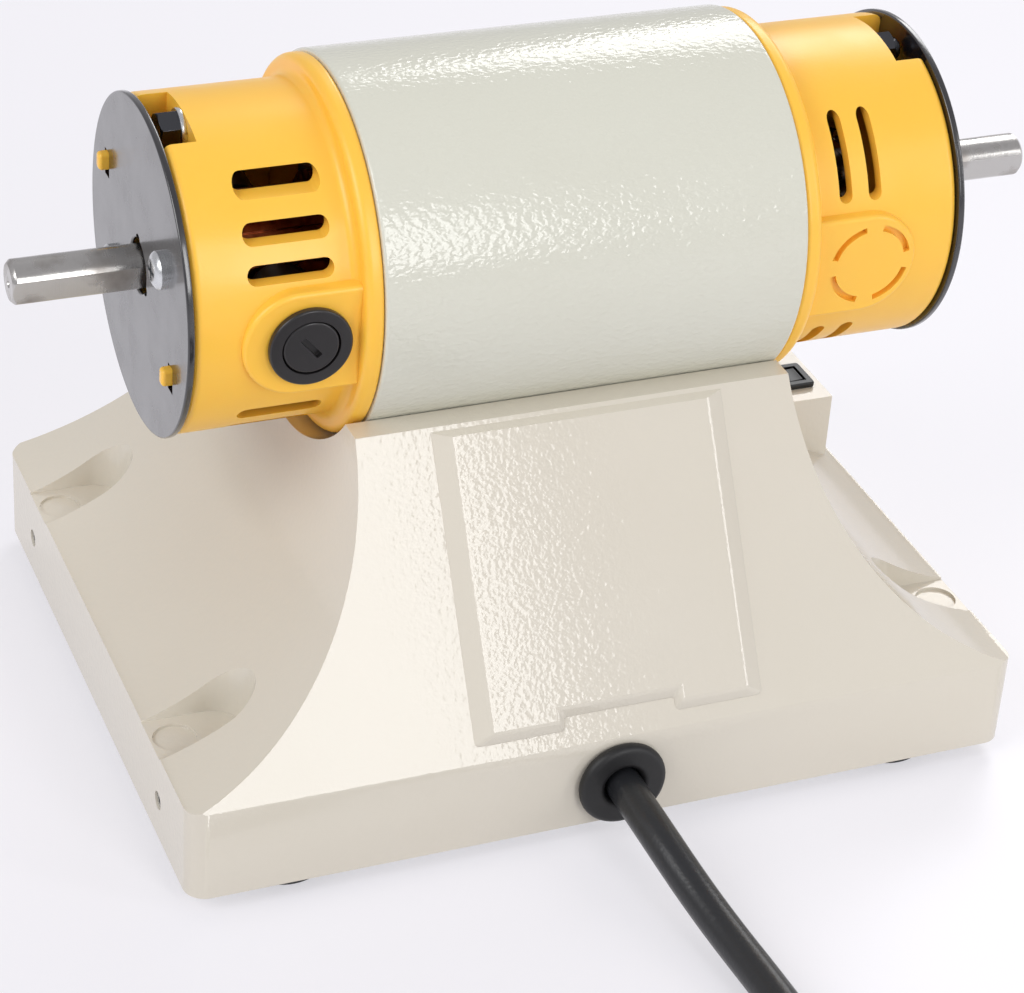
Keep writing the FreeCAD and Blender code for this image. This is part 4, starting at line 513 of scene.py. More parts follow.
# %% [markdown]
# **Inside the motor.** Varnished copper, stacked sheet, cast fan alloy and the board are seen
# only through the cooling slots, so each gets its colour with darker patches of varnish or dust.

# %% Workings
def dusty_workings(name, colour, patch_colour, roughness, patch, metallic=0.0):
    material, tree, shader, spot = new_material(name, colour, metallic=metallic,
                                                roughness=roughness)
    dust = add(tree, "TexNoise", {"Vector": spot, "Scale": 1 / patch, "Detail": 3.0})
    share = add(tree, "MapRange", {"Value": dust.outputs["Fac"], "From Min": 0.35,
                                   "From Max": 0.65})
    mixed = add(tree, "Mix", {"Factor": share.outputs["Result"], 6: tint(colour),
                              7: tint(patch_colour)}, data_type="RGBA")
    tree.links.new(mixed.outputs[2], shader.inputs["Base Color"])
    return material


# %% [markdown]
# Each finish is made once, and every piece that has it shares it.

# %% The finishes
CAST = cast_enamel()
HAMMER = hammer_enamel()
NYLON = yellow_nylon()
PLATE = plate_paint()
STEEL = ground_steel()
ZINC = plated_metal("zinc_plate", "#D6D8DA", 0.25)
BLACK_OXIDE = plated_metal("black_oxide", "#55565A", 0.22)
BEARING = plated_metal("bearing_steel", "#BFC0C2", 0.18)
BRASS = plated_metal("pin_brass", "#D3B46A", 0.25)
RUBBER = black_moulding("foot_rubber", "#161617", 0.5, 1.2 * MM, 0.06 * MM)
SHEATH = black_moulding("cord_rubber", "#212225", 0.33, 1.1 * MM, 0.12 * MM)
PHENOLIC = black_moulding("phenolic", "#262425", 0.28, 2.0 * MM, 0.02 * MM)
SATIN_BLACK = black_moulding("switch_plastic", "#121214", 0.38, 0.6 * MM, 0.02 * MM)
CARBON = black_moulding("carbon", "#1D1D1F", 0.6, 0.4 * MM, 0.02 * MM)
LAMINATION = dusty_workings("laminations", "#4B4744", "#34302D", 0.5, 2 * MM, 0.8)
WINDING = dusty_workings("varnished_copper", "#B8502A", "#7A2F16", 0.35, 1.5 * MM, 0.5)
COPPER = dusty_workings("turned_copper", "#B9714A", "#8A4E30", 0.3, 3 * MM, 1.0)
FAN_ALLOY = dusty_workings("fan_alloy", "#9C9C9B", "#7E7E7D", 0.45, 2 * MM, 1.0)
BOARD = dusty_workings("solder_mask", "#1F5A33", "#174A29", 0.35, 2 * MM)
CLIP_NYLON = dusty_workings("clip_nylon", "#6A6A68", "#5B5B59", 0.45, 2 * MM)
print("materials", len(bpy.data.materials))

# %% [markdown]
# ## The casting
# The pedestal is one aluminium casting: a low skirted base with flared flanks that rise to a
# saddle. Its front outline is drawn once and extruded through, then the two long faces are
# sliced off at a slope, as a pattern maker saws a block.

# %% Front outline of the casting
FLANK_RADIUS = 70.0
FLANK_X = 122.0
FLANK_Z = BAND_TOP + math.sqrt(FLANK_RADIUS ** 2 - (FLANK_X - 99.3) ** 2)
FACE_SLOPE = 31.0
FACE_FOOT_Y = 79.0
SADDLE_Y = FACE_FOOT_Y - (SADDLE_TOP - BAND_TOP) * math.tan(math.radians(FACE_SLOPE))
TROUGH_RADIUS = 43.25


def select_edges(piece, wanted, least_angle=20.0):
    """Selects edges by the place of their middle, in millimetres from the middle of the base."""
    focus(piece)
    bpy.ops.object.mode_set(mode="EDIT")
    bpy.ops.mesh.select_mode(type="EDGE")
    bpy.ops.mesh.select_all(action="DESELECT")
    shape = bmesh.from_edit_mesh(piece.data)
    count = 0
    for edge in shape.edges:
        a, b = edge.verts
        spot = (a.co + b.co) / 2 / MM - Vector((BASE_X, 0, 0))
        bend = math.degrees(edge.calc_face_angle(0.0))
        edge.select = bend > least_angle and wanted(spot, (b.co - a.co) / MM)
        count += edge.select
    bmesh.update_edit_mesh(piece.data)
    return count


def round_edges(piece, width, wanted, segments=3, least_angle=20.0):
    count = select_edges(piece, wanted, least_angle)
    bpy.ops.mesh.bevel(offset=width * MM, segments=segments, affect="EDGES", clamp_overlap=True)
    bpy.ops.object.mode_set(mode="OBJECT")
    print(piece.name, "edges rounded", count, "by", width)
    return piece


def tidy_mesh(piece, angle=0.4):
    """Removes the slivers and needless points that a cut leaves in flat faces."""
    focus(piece)
    bpy.ops.object.mode_set(mode="EDIT")
    bpy.ops.mesh.select_all(action="SELECT")
    bpy.ops.mesh.remove_doubles(threshold=0.01 * MM)
    bpy.ops.mesh.dissolve_limited(angle_limit=math.radians(angle))
    bpy.ops.mesh.select_all(action="SELECT")
    bpy.ops.mesh.normals_make_consistent(inside=False)
    bpy.ops.object.mode_set(mode="OBJECT")
    return piece


def smooth(piece, angle=35.0):
    """Smooth shading by angle, weighted so that flat faces stay flat beside rounded edges."""
    polish(piece, angle)
    apply_modifier(piece, "WEIGHTED_NORMAL", keep_sharp=True, weight=60)
    return piece


flank_low = math.degrees(math.asin((BAND_TOP - FLANK_Z) / FLANK_RADIUS))
flank_high = math.degrees(math.asin((SADDLE_TOP - FLANK_Z) / FLANK_RADIUS))
falling = arc(-FLANK_X, FLANK_Z, FLANK_RADIUS, flank_high, flank_low, 40)
rising = [(-x, z) for x, z in reversed(falling)]
front = ([(BASE_HALF_X, FOOT), (BASE_HALF_X, BAND_TOP)] + rising + falling
         + [(-BASE_HALF_X, BAND_TOP), (-BASE_HALF_X, FOOT)])
print("flank from", [round(v, 2) for v in rising[0]], "to", [round(v, 2) for v in rising[-1]])

# %% Extrude it and slope the faces
pedestal = prism("pedestal", front, "XZ", -BASE_HALF_Y, BASE_HALF_Y)
for side in (1, -1):
    slope = [(side * FACE_FOOT_Y, BAND_TOP), (side * 90, BAND_TOP), (side * 90, 96),
             (side * (SADDLE_Y - (96 - SADDLE_TOP) * math.tan(math.radians(FACE_SLOPE))), 96)]
    carve(pedestal, prism("slope_cutter", slope, "YZ", -120, 120))
tidy_mesh(pedestal)
print("pedestal", len(pedestal.data.vertices), "points")

# %% [markdown]
# A sand casting has no sharp edge anywhere: the pattern is rounded so that it leaves the sand,
# and the enamel rounds it more. The long edges of the flanks and the saddle are the widest, and
# are rounded while the casting is still a plain block, because a bevel is held back by the
# smallest edge near it.

# %% Round the long edges
def on_shoulder(spot, run):
    return spot.z > BAND_TOP + 2


round_edges(pedestal, 1.8, on_shoulder, 5, 14)

# %% [markdown]
# On the front corner a rectangular console stands up from the flank for the switch and the
# knob. It belongs to the same casting, so it is joined before any edge is rounded.

# %% Console
CONSOLE = {"x": (-97.8, -57.8), "y": (-79.0, -17.0), "top": 44.5}
console = block("console", (CONSOLE["x"][0], CONSOLE["y"][0], 10),
                (CONSOLE["x"][1], CONSOLE["y"][1], CONSOLE["top"]))
weld(pedestal, console)
trough = prism("trough_cutter", circle_outline(0, AXIS_Z, TROUGH_RADIUS, 160), "YZ", -120, 120)
carve(pedestal, trough)
corners = prism("corner_cutter", round_box(-BASE_HALF_X, BASE_HALF_X, -BASE_HALF_Y, BASE_HALF_Y,
                                           5.0, 10), "XY", 0, 96)
carve(pedestal, corners, "INTERSECT")
tidy_mesh(pedestal)

# %% [markdown]
# The edges that the trough and the console have made are rounded next, and the corner all round
# the low band last.

# %% Round the trough, the console and the band
def is_high(spot, run):
    return spot.z > BAND_TOP + 1.5


def on_band(spot, run):
    return abs(spot.z - BAND_TOP) < 1.5


round_edges(pedestal, 1.0, is_high, 3, 40)
round_edges(pedestal, 0.95, on_band, 3, 14)
tidy_mesh(pedestal, 0.2)

# %% [markdown]
# The rear face carries a raised pad, cast in one with it, with a short step over the cord
# outlet. It is an outline on the sloping face, extruded a little way in, whose outer face is
# then inset and lifted, so its sides slope as a cast edge does.

# %% Raised pad
PAD_HALF, PAD_RAISE, PAD_SIDE, PAD_NARROWED = 35.2, 1.6, 2.5, 0.94
PAD_FOOT, PAD_TOP, PAD_END, PAD_STEP_HALF, PAD_STEP = 3.5, 82.0, 73.6, 13.2, 3.03
slope_rise = math.cos(math.radians(FACE_SLOPE))
slope_run = math.sin(math.radians(FACE_SLOPE))


def on_face(x, along, out=0.0):
    """A point on the sloping rear face, a way along it and a way out from it."""
    return (x, FACE_FOOT_Y - slope_run * along + slope_rise * out,
            BAND_TOP + slope_rise * along + slope_run * out)


pad_outline = [(PAD_HALF, PAD_FOOT), (PAD_HALF, PAD_TOP), (-PAD_HALF, PAD_TOP),
               (-PAD_HALF, PAD_FOOT), (-PAD_STEP_HALF, PAD_FOOT),
               (-PAD_STEP_HALF, PAD_FOOT + PAD_STEP), (PAD_STEP_HALF, PAD_FOOT + PAD_STEP),
               (PAD_STEP_HALF, PAD_FOOT)]
pad = draw("pad", [on_face(x, along, -1.5) for x, along in pad_outline], closed=True)
outward = Vector((0, slope_rise, slope_run))
bpy.ops.mesh.extrude_region_move(TRANSFORM_OT_translate={"value": outward * 1.5 * MM})
bpy.ops.mesh.inset(thickness=PAD_SIDE * MM, depth=PAD_RAISE * MM)
bpy.ops.transform.resize(value=(PAD_NARROWED, 1, 1), center_override=place(0, 0, 0))
bpy.ops.mesh.select_all(action="SELECT")
bpy.ops.mesh.normals_make_consistent(inside=False)
bpy.ops.object.mode_set(mode="OBJECT")
round_edges(pad, 1.1, lambda spot, run: True, 3, 15)
pad_end = [on_face(0, along, out)[1:] for along, out in
           ((PAD_END + 3, -3), (PAD_END - 3, 3), (PAD_END + 30, 3), (PAD_END + 30, -3))]
carve(pad, prism("top_cutter", pad_end, "YZ", -60, 60))
weld(pedestal, pad)

# %% [markdown]
# Three corners have a pocket in the flank, open to the end. The sand pattern needs a draft, so
# the pocket is wider at its rim than at its floor: the cutter is a straight solid whose upper
# face is then scaled up. A shallow round dish in the floor shows where the pattern's pin stood.

# %% Corner pockets
POCKET_FLOOR, POCKET_TOP, POCKET_TIP, POCKET_WIDE, POCKET_Y = 26.0, 42.0, 79.0, 14.6, 49.2
DISH_X, DISH_RADIUS = 94.8, 4.9
for side_x, side_y in ((1, 1), (1, -1), (-1, 1)):
    half = POCKET_WIDE / 2
    nose = arc(POCKET_TIP + half, 0, half, 90, 270, 24)
    shape = [(side_x * x, side_y * POCKET_Y + y) for x, y in
             [(110, half)] + nose + [(110, -half)]]
    scoop = prism("pocket_cutter", shape, "XY", POCKET_FLOOR, POCKET_TOP)
    select_edges(scoop, lambda spot, run: spot.z > POCKET_TOP - 1, -1.0)
    bpy.ops.transform.resize(value=(1.09, 1.14, 1),
                             center_override=place(side_x * 110, side_y * POCKET_Y, POCKET_TOP))
    bpy.ops.object.mode_set(mode="OBJECT")
    carve(pedestal, scoop)
    dish = circle_outline(side_x * DISH_X, side_y * POCKET_Y, DISH_RADIUS, 40)
    carve(pedestal, prism("dish_cutter", dish, "XY", POCKET_FLOOR - 0.7, 30))
tidy_mesh(pedestal, 0.2)


def on_pocket(spot, run):
    if not (74 < abs(spot.x) < 99.2 and abs(abs(spot.y) - POCKET_Y) < 9.6):
        return False
    off = math.hypot(abs(spot.x) - DISH_X, abs(spot.y) - POCKET_Y)
    return spot.z > 27.2 or (off < DISH_RADIUS + 0.3 and spot.z < 26.2)


round_edges(pedestal, 0.7, on_pocket, 2, 25)

# %% [markdown]
# Underneath, the casting is hollow: a low tray under the skirt, and taller spaces in the core
# and the console. The rear wall has the cord outlet, and the ends have the cover's screws.

# %% Hollow and holes
carve(pedestal, prism("tray", round_box(-95.8, 95.8, -74.5, 74.5, 5.0), "XY", 0, 21.5))
carve(pedestal, prism("core", round_box(-44, 44, -42, 42, 5.0), "XY", 0, 65))
carve(pedestal, prism("console_core", round_box(-94.8, -60.8, -74.5, -20.0, 5.0), "XY", 0, 41.5))
carve(pedestal, prism("outlet", circle_outline(0, OUTLET_Z, 7.4), "XZ", 40, 90))
carve(pedestal, prism("tunnel", circle_outline(0, OUTLET_Z, 10.4), "XZ", 41, 74.5))
for side in (1, -1):
    hole = circle_outline(side * 55, 14.0, 2.2, 32)
    carve(pedestal, prism("screw_hole", hole, "YZ", -110, 110))
carve(pedestal, block("switch_hole", (-94.5, -32.0, 40), (-81.3, -23.0, 50)))
carve(pedestal, prism("knob_hole", circle_outline(-83.5, -52.5, 4.7), "XY", 40, 50))
tidy_mesh(pedestal, 0.2)
smooth(pedestal, 32)
finish_piece(pedestal, "machine", CAST, "cream_casting", "pedestal_casting")

# %% [markdown]
# ## Motor
# The motor's shell is a length of rolled tube. Both ends are plain, and the paint runs over
# the corner, so a ring profile with rounded corners is turned round the shaft's line.

# %% Tube
TUBE_LOW, TUBE_HIGH = -52.25, 46.75
AXIS = (0, 0, AXIS_Z)
tube_profile = [(0, 40), (TUBE_LOW, 40), (TUBE_LOW, 43), (TUBE_HIGH, 43), (TUBE_HIGH, 40), (0, 40)]
tube = lathe("motor_shell", soften(tube_profile, 0.7), AXIS, "X", 160)
smooth(tube)
finish_piece(tube, "machine", HAMMER, "ivory_tube", "motor_tube")

# %% [markdown]
# ## End caps
# Each end of the motor is closed by a moulded yellow cap: a flange against the tube, a drum, an
# end wall that holds the bearing, and a deep notch for each through bolt. One function turns
# the shape that they share. What differs is cut afterwards. The two caps, their bolts and the
# brush gear are turned a little about the shaft, because the motor was dropped into the saddle
# by hand. The end plates are not: their screws and pegs line up level with the bench.

# %% Shared shape of a cap
CAP_LENGTH, CAP_RADIUS, CAP_WALL, FLANGE_RADIUS, FLANGE_WIDE = 40.4, 37.4, 2.8, 42.3, 4.2
END_WALL, NOTCH_HALF, NOTCH_DEEP, NOTCH_FLOOR, BOLT_Z = 3.0, 11.0, 7.4, 27.4, 32.6
TONGUE_FACE, MOTOR_TURN, PEG_ANGLE = 38.6, 3.6, 151


def peg_places(angle):
    """Both pegs, off the axis in Y and Z."""
    across, up = 28.3 * math.cos(math.radians(angle)), 28.3 * math.sin(math.radians(angle))
    return [(across, up), (-across, -up)]


SCREW_PLACES = [(s * 21 * math.cos(math.radians(25)), s * 21 * math.sin(math.radians(25)))
                for s in (1, -1)]


def turn_motor(piece):
    """Turns a piece about the shaft's line."""
    focus(piece)
    centre = Matrix.Translation(place(0, 0, AXIS_Z))
    turned = Matrix.Rotation(math.radians(-MOTOR_TURN), 4, "X")
    piece.matrix_world = centre @ turned @ centre.inverted()
    bpy.ops.object.transform_apply(location=True, rotation=True, scale=False)
    return piece


def turned_cap(name, end_x, side):
    inside = CAP_RADIUS - CAP_WALL
    back = CAP_LENGTH - END_WALL
    outer = [(-6, inside), (-6, 39.9), (0, 39.9), (0, FLANGE_RADIUS), (FLANGE_WIDE, FLANGE_RADIUS),
             (FLANGE_WIDE, CAP_RADIUS), (CAP_LENGTH, CAP_RADIUS), (CAP_LENGTH, 8.0)]
    outer = outer[:3] + soften(outer[2:], 2.0, 6)[1:]
    inner = [(back, 8.0), (back, 15.03), (back - 11, 15.03), (back - 11, 18.5), (back, 18.5),
             (back, inside), (-6, inside)]
    profile = [(side * a, r) for a, r in outer + inner]
    return lathe(name, profile, (end_x, 0, AXIS_Z), "X", 144)


def cap_block(name, end_x, side, near, far, low, high):
    """A block given by its distances along the cap, and its corners in Y and Z off the axis."""
    xs = sorted((end_x + side * near, end_x + side * far))
    return block(name, (xs[0], low[0], AXIS_Z + low[1]), (xs[1], high[0], AXIS_Z + high[1]))


def add_notches(cap, end_x, side):
    seat = CAP_LENGTH - NOTCH_DEEP
    for z in (1, -1):
        lows = sorted((z * (NOTCH_FLOOR - 2.2), z * 33.9))
        weld(cap, cap_block("notch_wall", end_x, side, seat - 2.2, CAP_LENGTH - 1.0,
                            (-NOTCH_HALF - 2.2, lows[0]), (NOTCH_HALF + 2.2, lows[1])))
        outs = sorted((z * NOTCH_FLOOR, z * 48))
        notch = cap_block("notch_cutter", end_x, side, seat, CAP_LENGTH + 5,
                          (-NOTCH_HALF, outs[0]), (NOTCH_HALF, outs[1]))
        carve(cap, notch)
    return cap


def add_pegs(cap, end_x, side):
    for y, z in peg_places(PEG_ANGLE + MOTOR_TURN):
        peg = cap_block("peg", end_x, side, CAP_LENGTH - 1.5, CAP_LENGTH + 3.8,
                        (y - 1.4, z - 2.1), (y + 1.4, z + 2.1))
        ease(peg, 0.9, 4)
        weld(cap, peg)
    return cap


def tongue(end_x, side, y, face):
    """The low flat pad with a round end on each side of a cap."""
    half, reach = 12.5, 30.2
    shape = [(1, -half)] + arc(reach - half, 0, half, -90, 90, 32) + [(1, half)]
    lows = sorted((y * 33.6, y * face))
    pad_piece = prism("tongue", [(end_x + side * a, AXIS_Z + z) for a, z in shape], "XZ", *lows)
    return ease(pad_piece, 1.0, 4, 50)


# %% Slots in a cap
def cut_slots(cap, shapes):
    """Cuts outlines, given along the shaft and off the axis, out of both sides of a cap."""
    for y in (1, -1):
        lows = sorted((y * 12, y * 50))
        for shape in shapes:
            carve(cap, prism("slot_cutter", [(a, AXIS_Z + z) for a, z in shape], "XZ", *lows))
    return cap


def finish_cap(cap, node, end_x):
    """Softens the edges of slots and notches, as a mould does."""
    tidy_mesh(cap, 0.2)

    def on_skin(spot, run):
        off = math.hypot(spot.y, spot.z - AXIS_Z)
        in_length = FLANGE_WIDE + 3 < abs(spot.x - end_x) < CAP_LENGTH - 0.6
        return in_length and off > CAP_RADIUS - 0.15 and abs(spot.y) > 10

    round_edges(cap, 0.45, on_skin, 2, 30)
    turn_motor(cap)
    smooth(cap, 30)
    return finish_piece(cap, "machine", NYLON, "yellow_cap", node)


# %% [markdown]
# The brush end has a brush holder in the middle of each tongue and five level slots, which
# widen the view of the commutator for the cooling air.

# %% Brush end cap
brush_cap = turned_cap("brush_end_cover", TUBE_HIGH, 1)
BRUSH_X = 62.4
for y in (1, -1):
    weld(brush_cap, tongue(TUBE_HIGH, 1, y, TONGUE_FACE))
add_notches(brush_cap, TUBE_HIGH, 1)
level_slots = [stadium(TUBE_HIGH + 9.3, TUBE_HIGH + 28.4, z - 2.0, z + 2.0)
               for z in (15.5, 22.9, 30.3, -21.4, -29.6)]
cut_slots(brush_cap, level_slots + [circle_outline(BRUSH_X, 0, 7.35, 48)])
add_pegs(brush_cap, TUBE_HIGH, 1)
finish_cap(brush_cap, "brush_end_cap", TUBE_HIGH)

# %% [markdown]
# The fan end has upright slots instead, and a round knock-out where a brush holder could go:
# four thin arcs of a ring, cut part way through the tongue.

# %% Fan end cap
FAN_TONGUE_FACE = 38.1
fan_cap = turned_cap("fan_end_cover", TUBE_LOW, -1)
for y in (1, -1):
    weld(fan_cap, tongue(TUBE_LOW, -1, y, FAN_TONGUE_FACE))
add_notches(fan_cap, TUBE_LOW, -1)
upright_slots = []
for centre in (TUBE_LOW - 12.2, TUBE_LOW - 19.5):
    upright_slots.append(stadium(centre - 1.6, centre + 1.6, 14.5, 31))
    upright_slots.append(stadium(centre - 1.6, centre + 1.6, -31, -19.5))
cut_slots(fan_cap, upright_slots)
for y in (1, -1):
    for quarter in range(4):
        first, last = quarter * 90 + 13, quarter * 90 + 77
        shape = (arc(TUBE_LOW - 18.6, AXIS_Z, 10.0, first, last, 12)
                 + arc(TUBE_LOW - 18.6, AXIS_Z, 8.5, last, first, 12))
        lows = sorted((y * (FAN_TONGUE_FACE - 1.6), y * 41))
        carve(fan_cap, prism("ring_cutter", shape, "XZ", *lows))
add_pegs(fan_cap, TUBE_LOW, -1)
finish_cap(fan_cap, "fan_end_cap", TUBE_LOW)

# %% [markdown]
# ## End plates
# A black steel disc closes each cap. It is punched: a round hole with three scallops for the
# shaft, two screw holes, and two slots that the cap's pegs stand through.

# %% End plates
PLATE_THICK, PLATE_RADIUS = 1.6, 38.0
for node, end_x, side in (("brush_end_plate", TUBE_HIGH + CAP_LENGTH, 1),
                          ("fan_end_plate", TUBE_LOW - CAP_LENGTH, -1)):
    rim = soften([(0, 6.2), (0, PLATE_RADIUS), (side * PLATE_THICK, PLATE_RADIUS),
                  (side * PLATE_THICK, 6.2), (0, 6.2)], 0.45, 3)
    plate = lathe(node + "_disc", rim, (end_x, 0, AXIS_Z), "X", 144)
    lows = sorted((end_x - side * 1, end_x + side * 3))
    for turns in range(3):
        angle = math.radians(90 + 120 * turns)
        shape = circle_outline(6.2 * math.cos(angle), AXIS_Z + 6.2 * math.sin(angle), 1.5, 24)
        carve(plate, prism("scallop", shape, "YZ", *lows))
    for y, z in SCREW_PLACES:
        carve(plate, prism("screw_hole", circle_outline(y, AXIS_Z + z, 2.1, 24), "YZ", *lows))
    for y, z in peg_places(PEG_ANGLE):
        shape = [(y - 1.7, AXIS_Z + z - 3.9), (y + 1.7, AXIS_Z + z - 3.9),
                 (y + 1.7, AXIS_Z + z + 2.4), (y - 1.7, AXIS_Z + z + 2.4)]
        carve(plate, prism("peg_slot", shape, "YZ", *lows))
    tidy_mesh(plate, 0.2)
    ease(plate, 0.2, 2, 60)
    smooth(plate, 40)
    finish_piece(plate, "machine", PLATE, "black_plate", node)

# %% [markdown]
# ## Spindle
# The shaft is one long steel bar with a plain end each side. Each end has a chamfer, a centre
# hole from the lathe, a groove for the bearing's ring, and a flat from there to the tip that the
# mop's screw bears on.

# %% Spindle
SHAFT_LEFT, SHAFT_RIGHT, SHAFT_RADIUS = 117.5, -129.0, 5.0
shaft_profile = [(SHAFT_RIGHT + 2.4, 0), (SHAFT_RIGHT, 1.3), (SHAFT_RIGHT, 4.1),
                 (SHAFT_RIGHT + 0.9, 5), (-90.85, 5), (-90.85, 4.5), (-89.65, 4.5), (-89.65, 5),
                 (-80.65, 5), (-80.65, 6.5), (75.15, 6.5), (75.15, 5),
                 (84.15, 5), (84.15, 4.5), (85.35, 4.5), (85.35, 5),
                 (SHAFT_LEFT - 0.9, 5), (SHAFT_LEFT, 4.1), (SHAFT_LEFT, 1.3), (SHAFT_LEFT - 2.4, 0)]
shaft = lathe("spindle", soften(shaft_profile, 0.25, 2), AXIS, "X", 72)
FLAT_ANGLE = math.radians(-10)
for end, length, side in ((SHAFT_LEFT, 32.15, 1), (SHAFT_RIGHT, 38.15, -1)):
    across, along = math.cos(FLAT_ANGLE), math.sin(FLAT_ANGLE)
    corners_yz = [(4.2, -6), (9, -6), (9, 6), (4.2, 6)]
    shape = [(u * across - v * along, AXIS_Z + u * along + v * across) for u, v in corners_yz]
    lows = sorted((end + side * 3, end - side * length))
    carve(shaft, prism("flat_cutter", shape, "YZ", *lows))
tidy_mesh(shaft, 0.2)
smooth(shaft, 25)
finish_piece(shaft, "rotor", STEEL, "ground_steel", "spindle_shaft")

# %% [markdown]
# ## Hardware
# Hexagon bolts sit in the brush end's notches. A real head has its corners turned off to a
# cone, so a hexagonal prism is cut to the overlap with a wide chamfered disc.

# %% Bolts and washers
head_x = TUBE_HIGH + CAP_LENGTH - NOTCH_DEEP + 1.2
for z, name in ((BOLT_Z, "upper"), (-BOLT_Z, "lower")):
    hexagon = [(4 / math.cos(math.pi / 6) * math.cos(math.radians(a)),
                AXIS_Z + z + 4 / math.cos(math.pi / 6) * math.sin(math.radians(a)))
               for a in range(30, 390, 60)]
    head = prism("bolt_" + name, hexagon, "YZ", head_x, head_x + 4.4)
    chamfer = lathe("chamfer", [(-1, 0), (-1, 7), (3.6, 5.0), (4.4, 3.9), (4.4, 0)],
                    (head_x, 0, AXIS_Z + z), "X", 48)
    carve(head, chamfer, "INTERSECT")
    shank = prism("shank", circle_outline(0, AXIS_Z + z, 2.5, 32), "YZ", -83.25, head_x + 1)
    weld(head, shank)
    ease(head, 0.15, 2, 28)
    turn_motor(head)
    smooth(head, 30)
    finish_piece(head, "machine", BLACK_OXIDE, "black_steel", "through_bolt_" + name)
    ring = lathe("washer_" + name, soften([(0, 2.6), (0, 4.8), (1.2, 4.8), (1.2, 2.6), (0, 2.6)],
                                          0.3, 2), (head_x - 1.2, 0, AXIS_Z + z), "X", 40)
    turn_motor(ring)
    smooth(ring)
    finish_piece(ring, "machine", ZINC, "zinc_steel", "bolt_washer_" + name)

# %% [markdown]
# At the fan end the bolts come out in the same kind of notch, where a nut holds each one. The
# nut is turned from the same hexagon as the head, and the bolt's rounded tip stands out of it.

# %% Nuts
nut_x = TUBE_LOW - CAP_LENGTH + NOTCH_DEEP
for z, name in ((BOLT_Z, "upper"), (-BOLT_Z, "lower")):
    hexagon = [(4 / math.cos(math.pi / 6) * math.cos(math.radians(a)),
                AXIS_Z + z + 4 / math.cos(math.pi / 6) * math.sin(math.radians(a)))
               for a in range(30, 390, 60)]
    nut = prism("bolt_nut_" + name, hexagon, "YZ", nut_x - 4.0, nut_x)
    cone = lathe("chamfer", [(1, 0), (1, 7), (-3.2, 5.0), (-4.0, 3.9), (-4.0, 0)],
                 (nut_x, 0, AXIS_Z + z), "X", 48)
    carve(nut, cone, "INTERSECT")
    tip = lathe("tip", soften([(0, 0), (-1, 2.5), (-6.2, 2.5), (-6.2, 0)], 0.8, 3),
                (nut_x, 0, AXIS_Z + z), "X", 32)
    weld(nut, tip)
    ease(nut, 0.15, 2, 28)
    turn_motor(nut)
    smooth(nut, 30)
    finish_piece(nut, "machine", BLACK_OXIDE, "black_steel")

# %% [markdown]
# ## Brush gear
# A phenolic holder with a round flange stands in each tongue of the brush end. A screwed cap
# with a coin slot closes it.

# %% Brush holders and caps
COIN_ANGLE = 50
HOLDER_Y, HOLDER_FLANGE = TONGUE_FACE, 1.8
for y, name in ((1, "rear"), (-1, "front")):
    face = HOLDER_Y + HOLDER_FLANGE
    rim = [(face, 6.55), (face, 9.3), (HOLDER_Y, 9.3), (HOLDER_Y, 7.2), (16.6, 7.2),
           (16.6, 5.4), (face - 5.25, 5.4), (face - 5.25, 6.55), (face, 6.55)]
    holder = lathe("brush_tube_" + name, soften([(y * a, r) for a, r in rim], 0.5, 3),
                   (BRUSH_X, 0, AXIS_Z), "Y", 64)
    turn_motor(holder)
    smooth(holder, 40)
    finish_piece(holder, "machine", PHENOLIC, "black_phenolic", "brush_holder_" + name)
    knob_profile = [(y * (face - 5), 0), (y * (face - 5), 6.3), (y * face, 6.3), (y * face, 0)]
    cap = lathe("coin_cap_" + name, soften(knob_profile, 0.6, 3), (BRUSH_X, 0, AXIS_Z), "Y", 64)
    coin = Matrix.Rotation(math.radians(COIN_ANGLE), 2)
    corners_xz = [coin @ Vector(corner) for corner in ((-3, -0.7), (3, -0.7), (3, 0.7), (-3, 0.7))]
    shape = [(BRUSH_X + corner.x, AXIS_Z + corner.y) for corner in corners_xz]
    carve(cap, prism("coin_cutter", shape, "XZ", *sorted((y * (face - 1.2), y * (face + 1)))))
    tidy_mesh(cap, 0.2)
    ease(cap, 0.15, 2, 60)
    turn_motor(cap)
    smooth(cap, 35)
    finish_piece(cap, "machine", PHENOLIC, "black_phenolic", "brush_cap_" + name)

# %% [markdown]
# ## Cord outlet and feet
# Both are turned rubber. The bush is snapped into the rear wall and rounded where the cord
# bends out of it.

# %% Bush and feet
bush_profile = [(71.9, 4.3), (71.9, 9.4), (74.4, 9.4), (74.4, 7.2), (79.1, 7.2),
                (79.1, 10.4), (82.4, 10.4), (82.4, 5.3), (80.9, 4.3), (71.9, 4.3)]
bush = lathe("cord_bush", soften(bush_profile, 1.5, 4), (0, 0, OUTLET_Z), "Y", 72)
smooth(bush, 40)
finish_piece(bush, "machine", RUBBER, "black_rubber", "cord_grommet")
for side_x, side_y, name in ((1, 1, "left_rear"), (1, -1, "left_front"),
                             (-1, 1, "right_rear"), (-1, -1, "right_front")):
    foot_profile = [(0, 0), (0, 9.8), (4, 11), (4, 3), (5.7, 3), (5.7, 4.2), (8.7, 3), (8.7, 0)]
    foot = lathe("foot_" + name, soften(foot_profile, 0.6, 3), (side_x * 75, side_y * 65.5, 0),
                 "Z", 56)
    smooth(foot, 40)
    finish_piece(foot, "machine", RUBBER, "black_rubber", "rubber_foot_" + name)

# %% [markdown]
# ## Switch and speed control
# The rocker switch is a snap-in moulding: a frame with a well, and a dished rocker that pivots
# in it. The knob is a fluted cap over a stem.

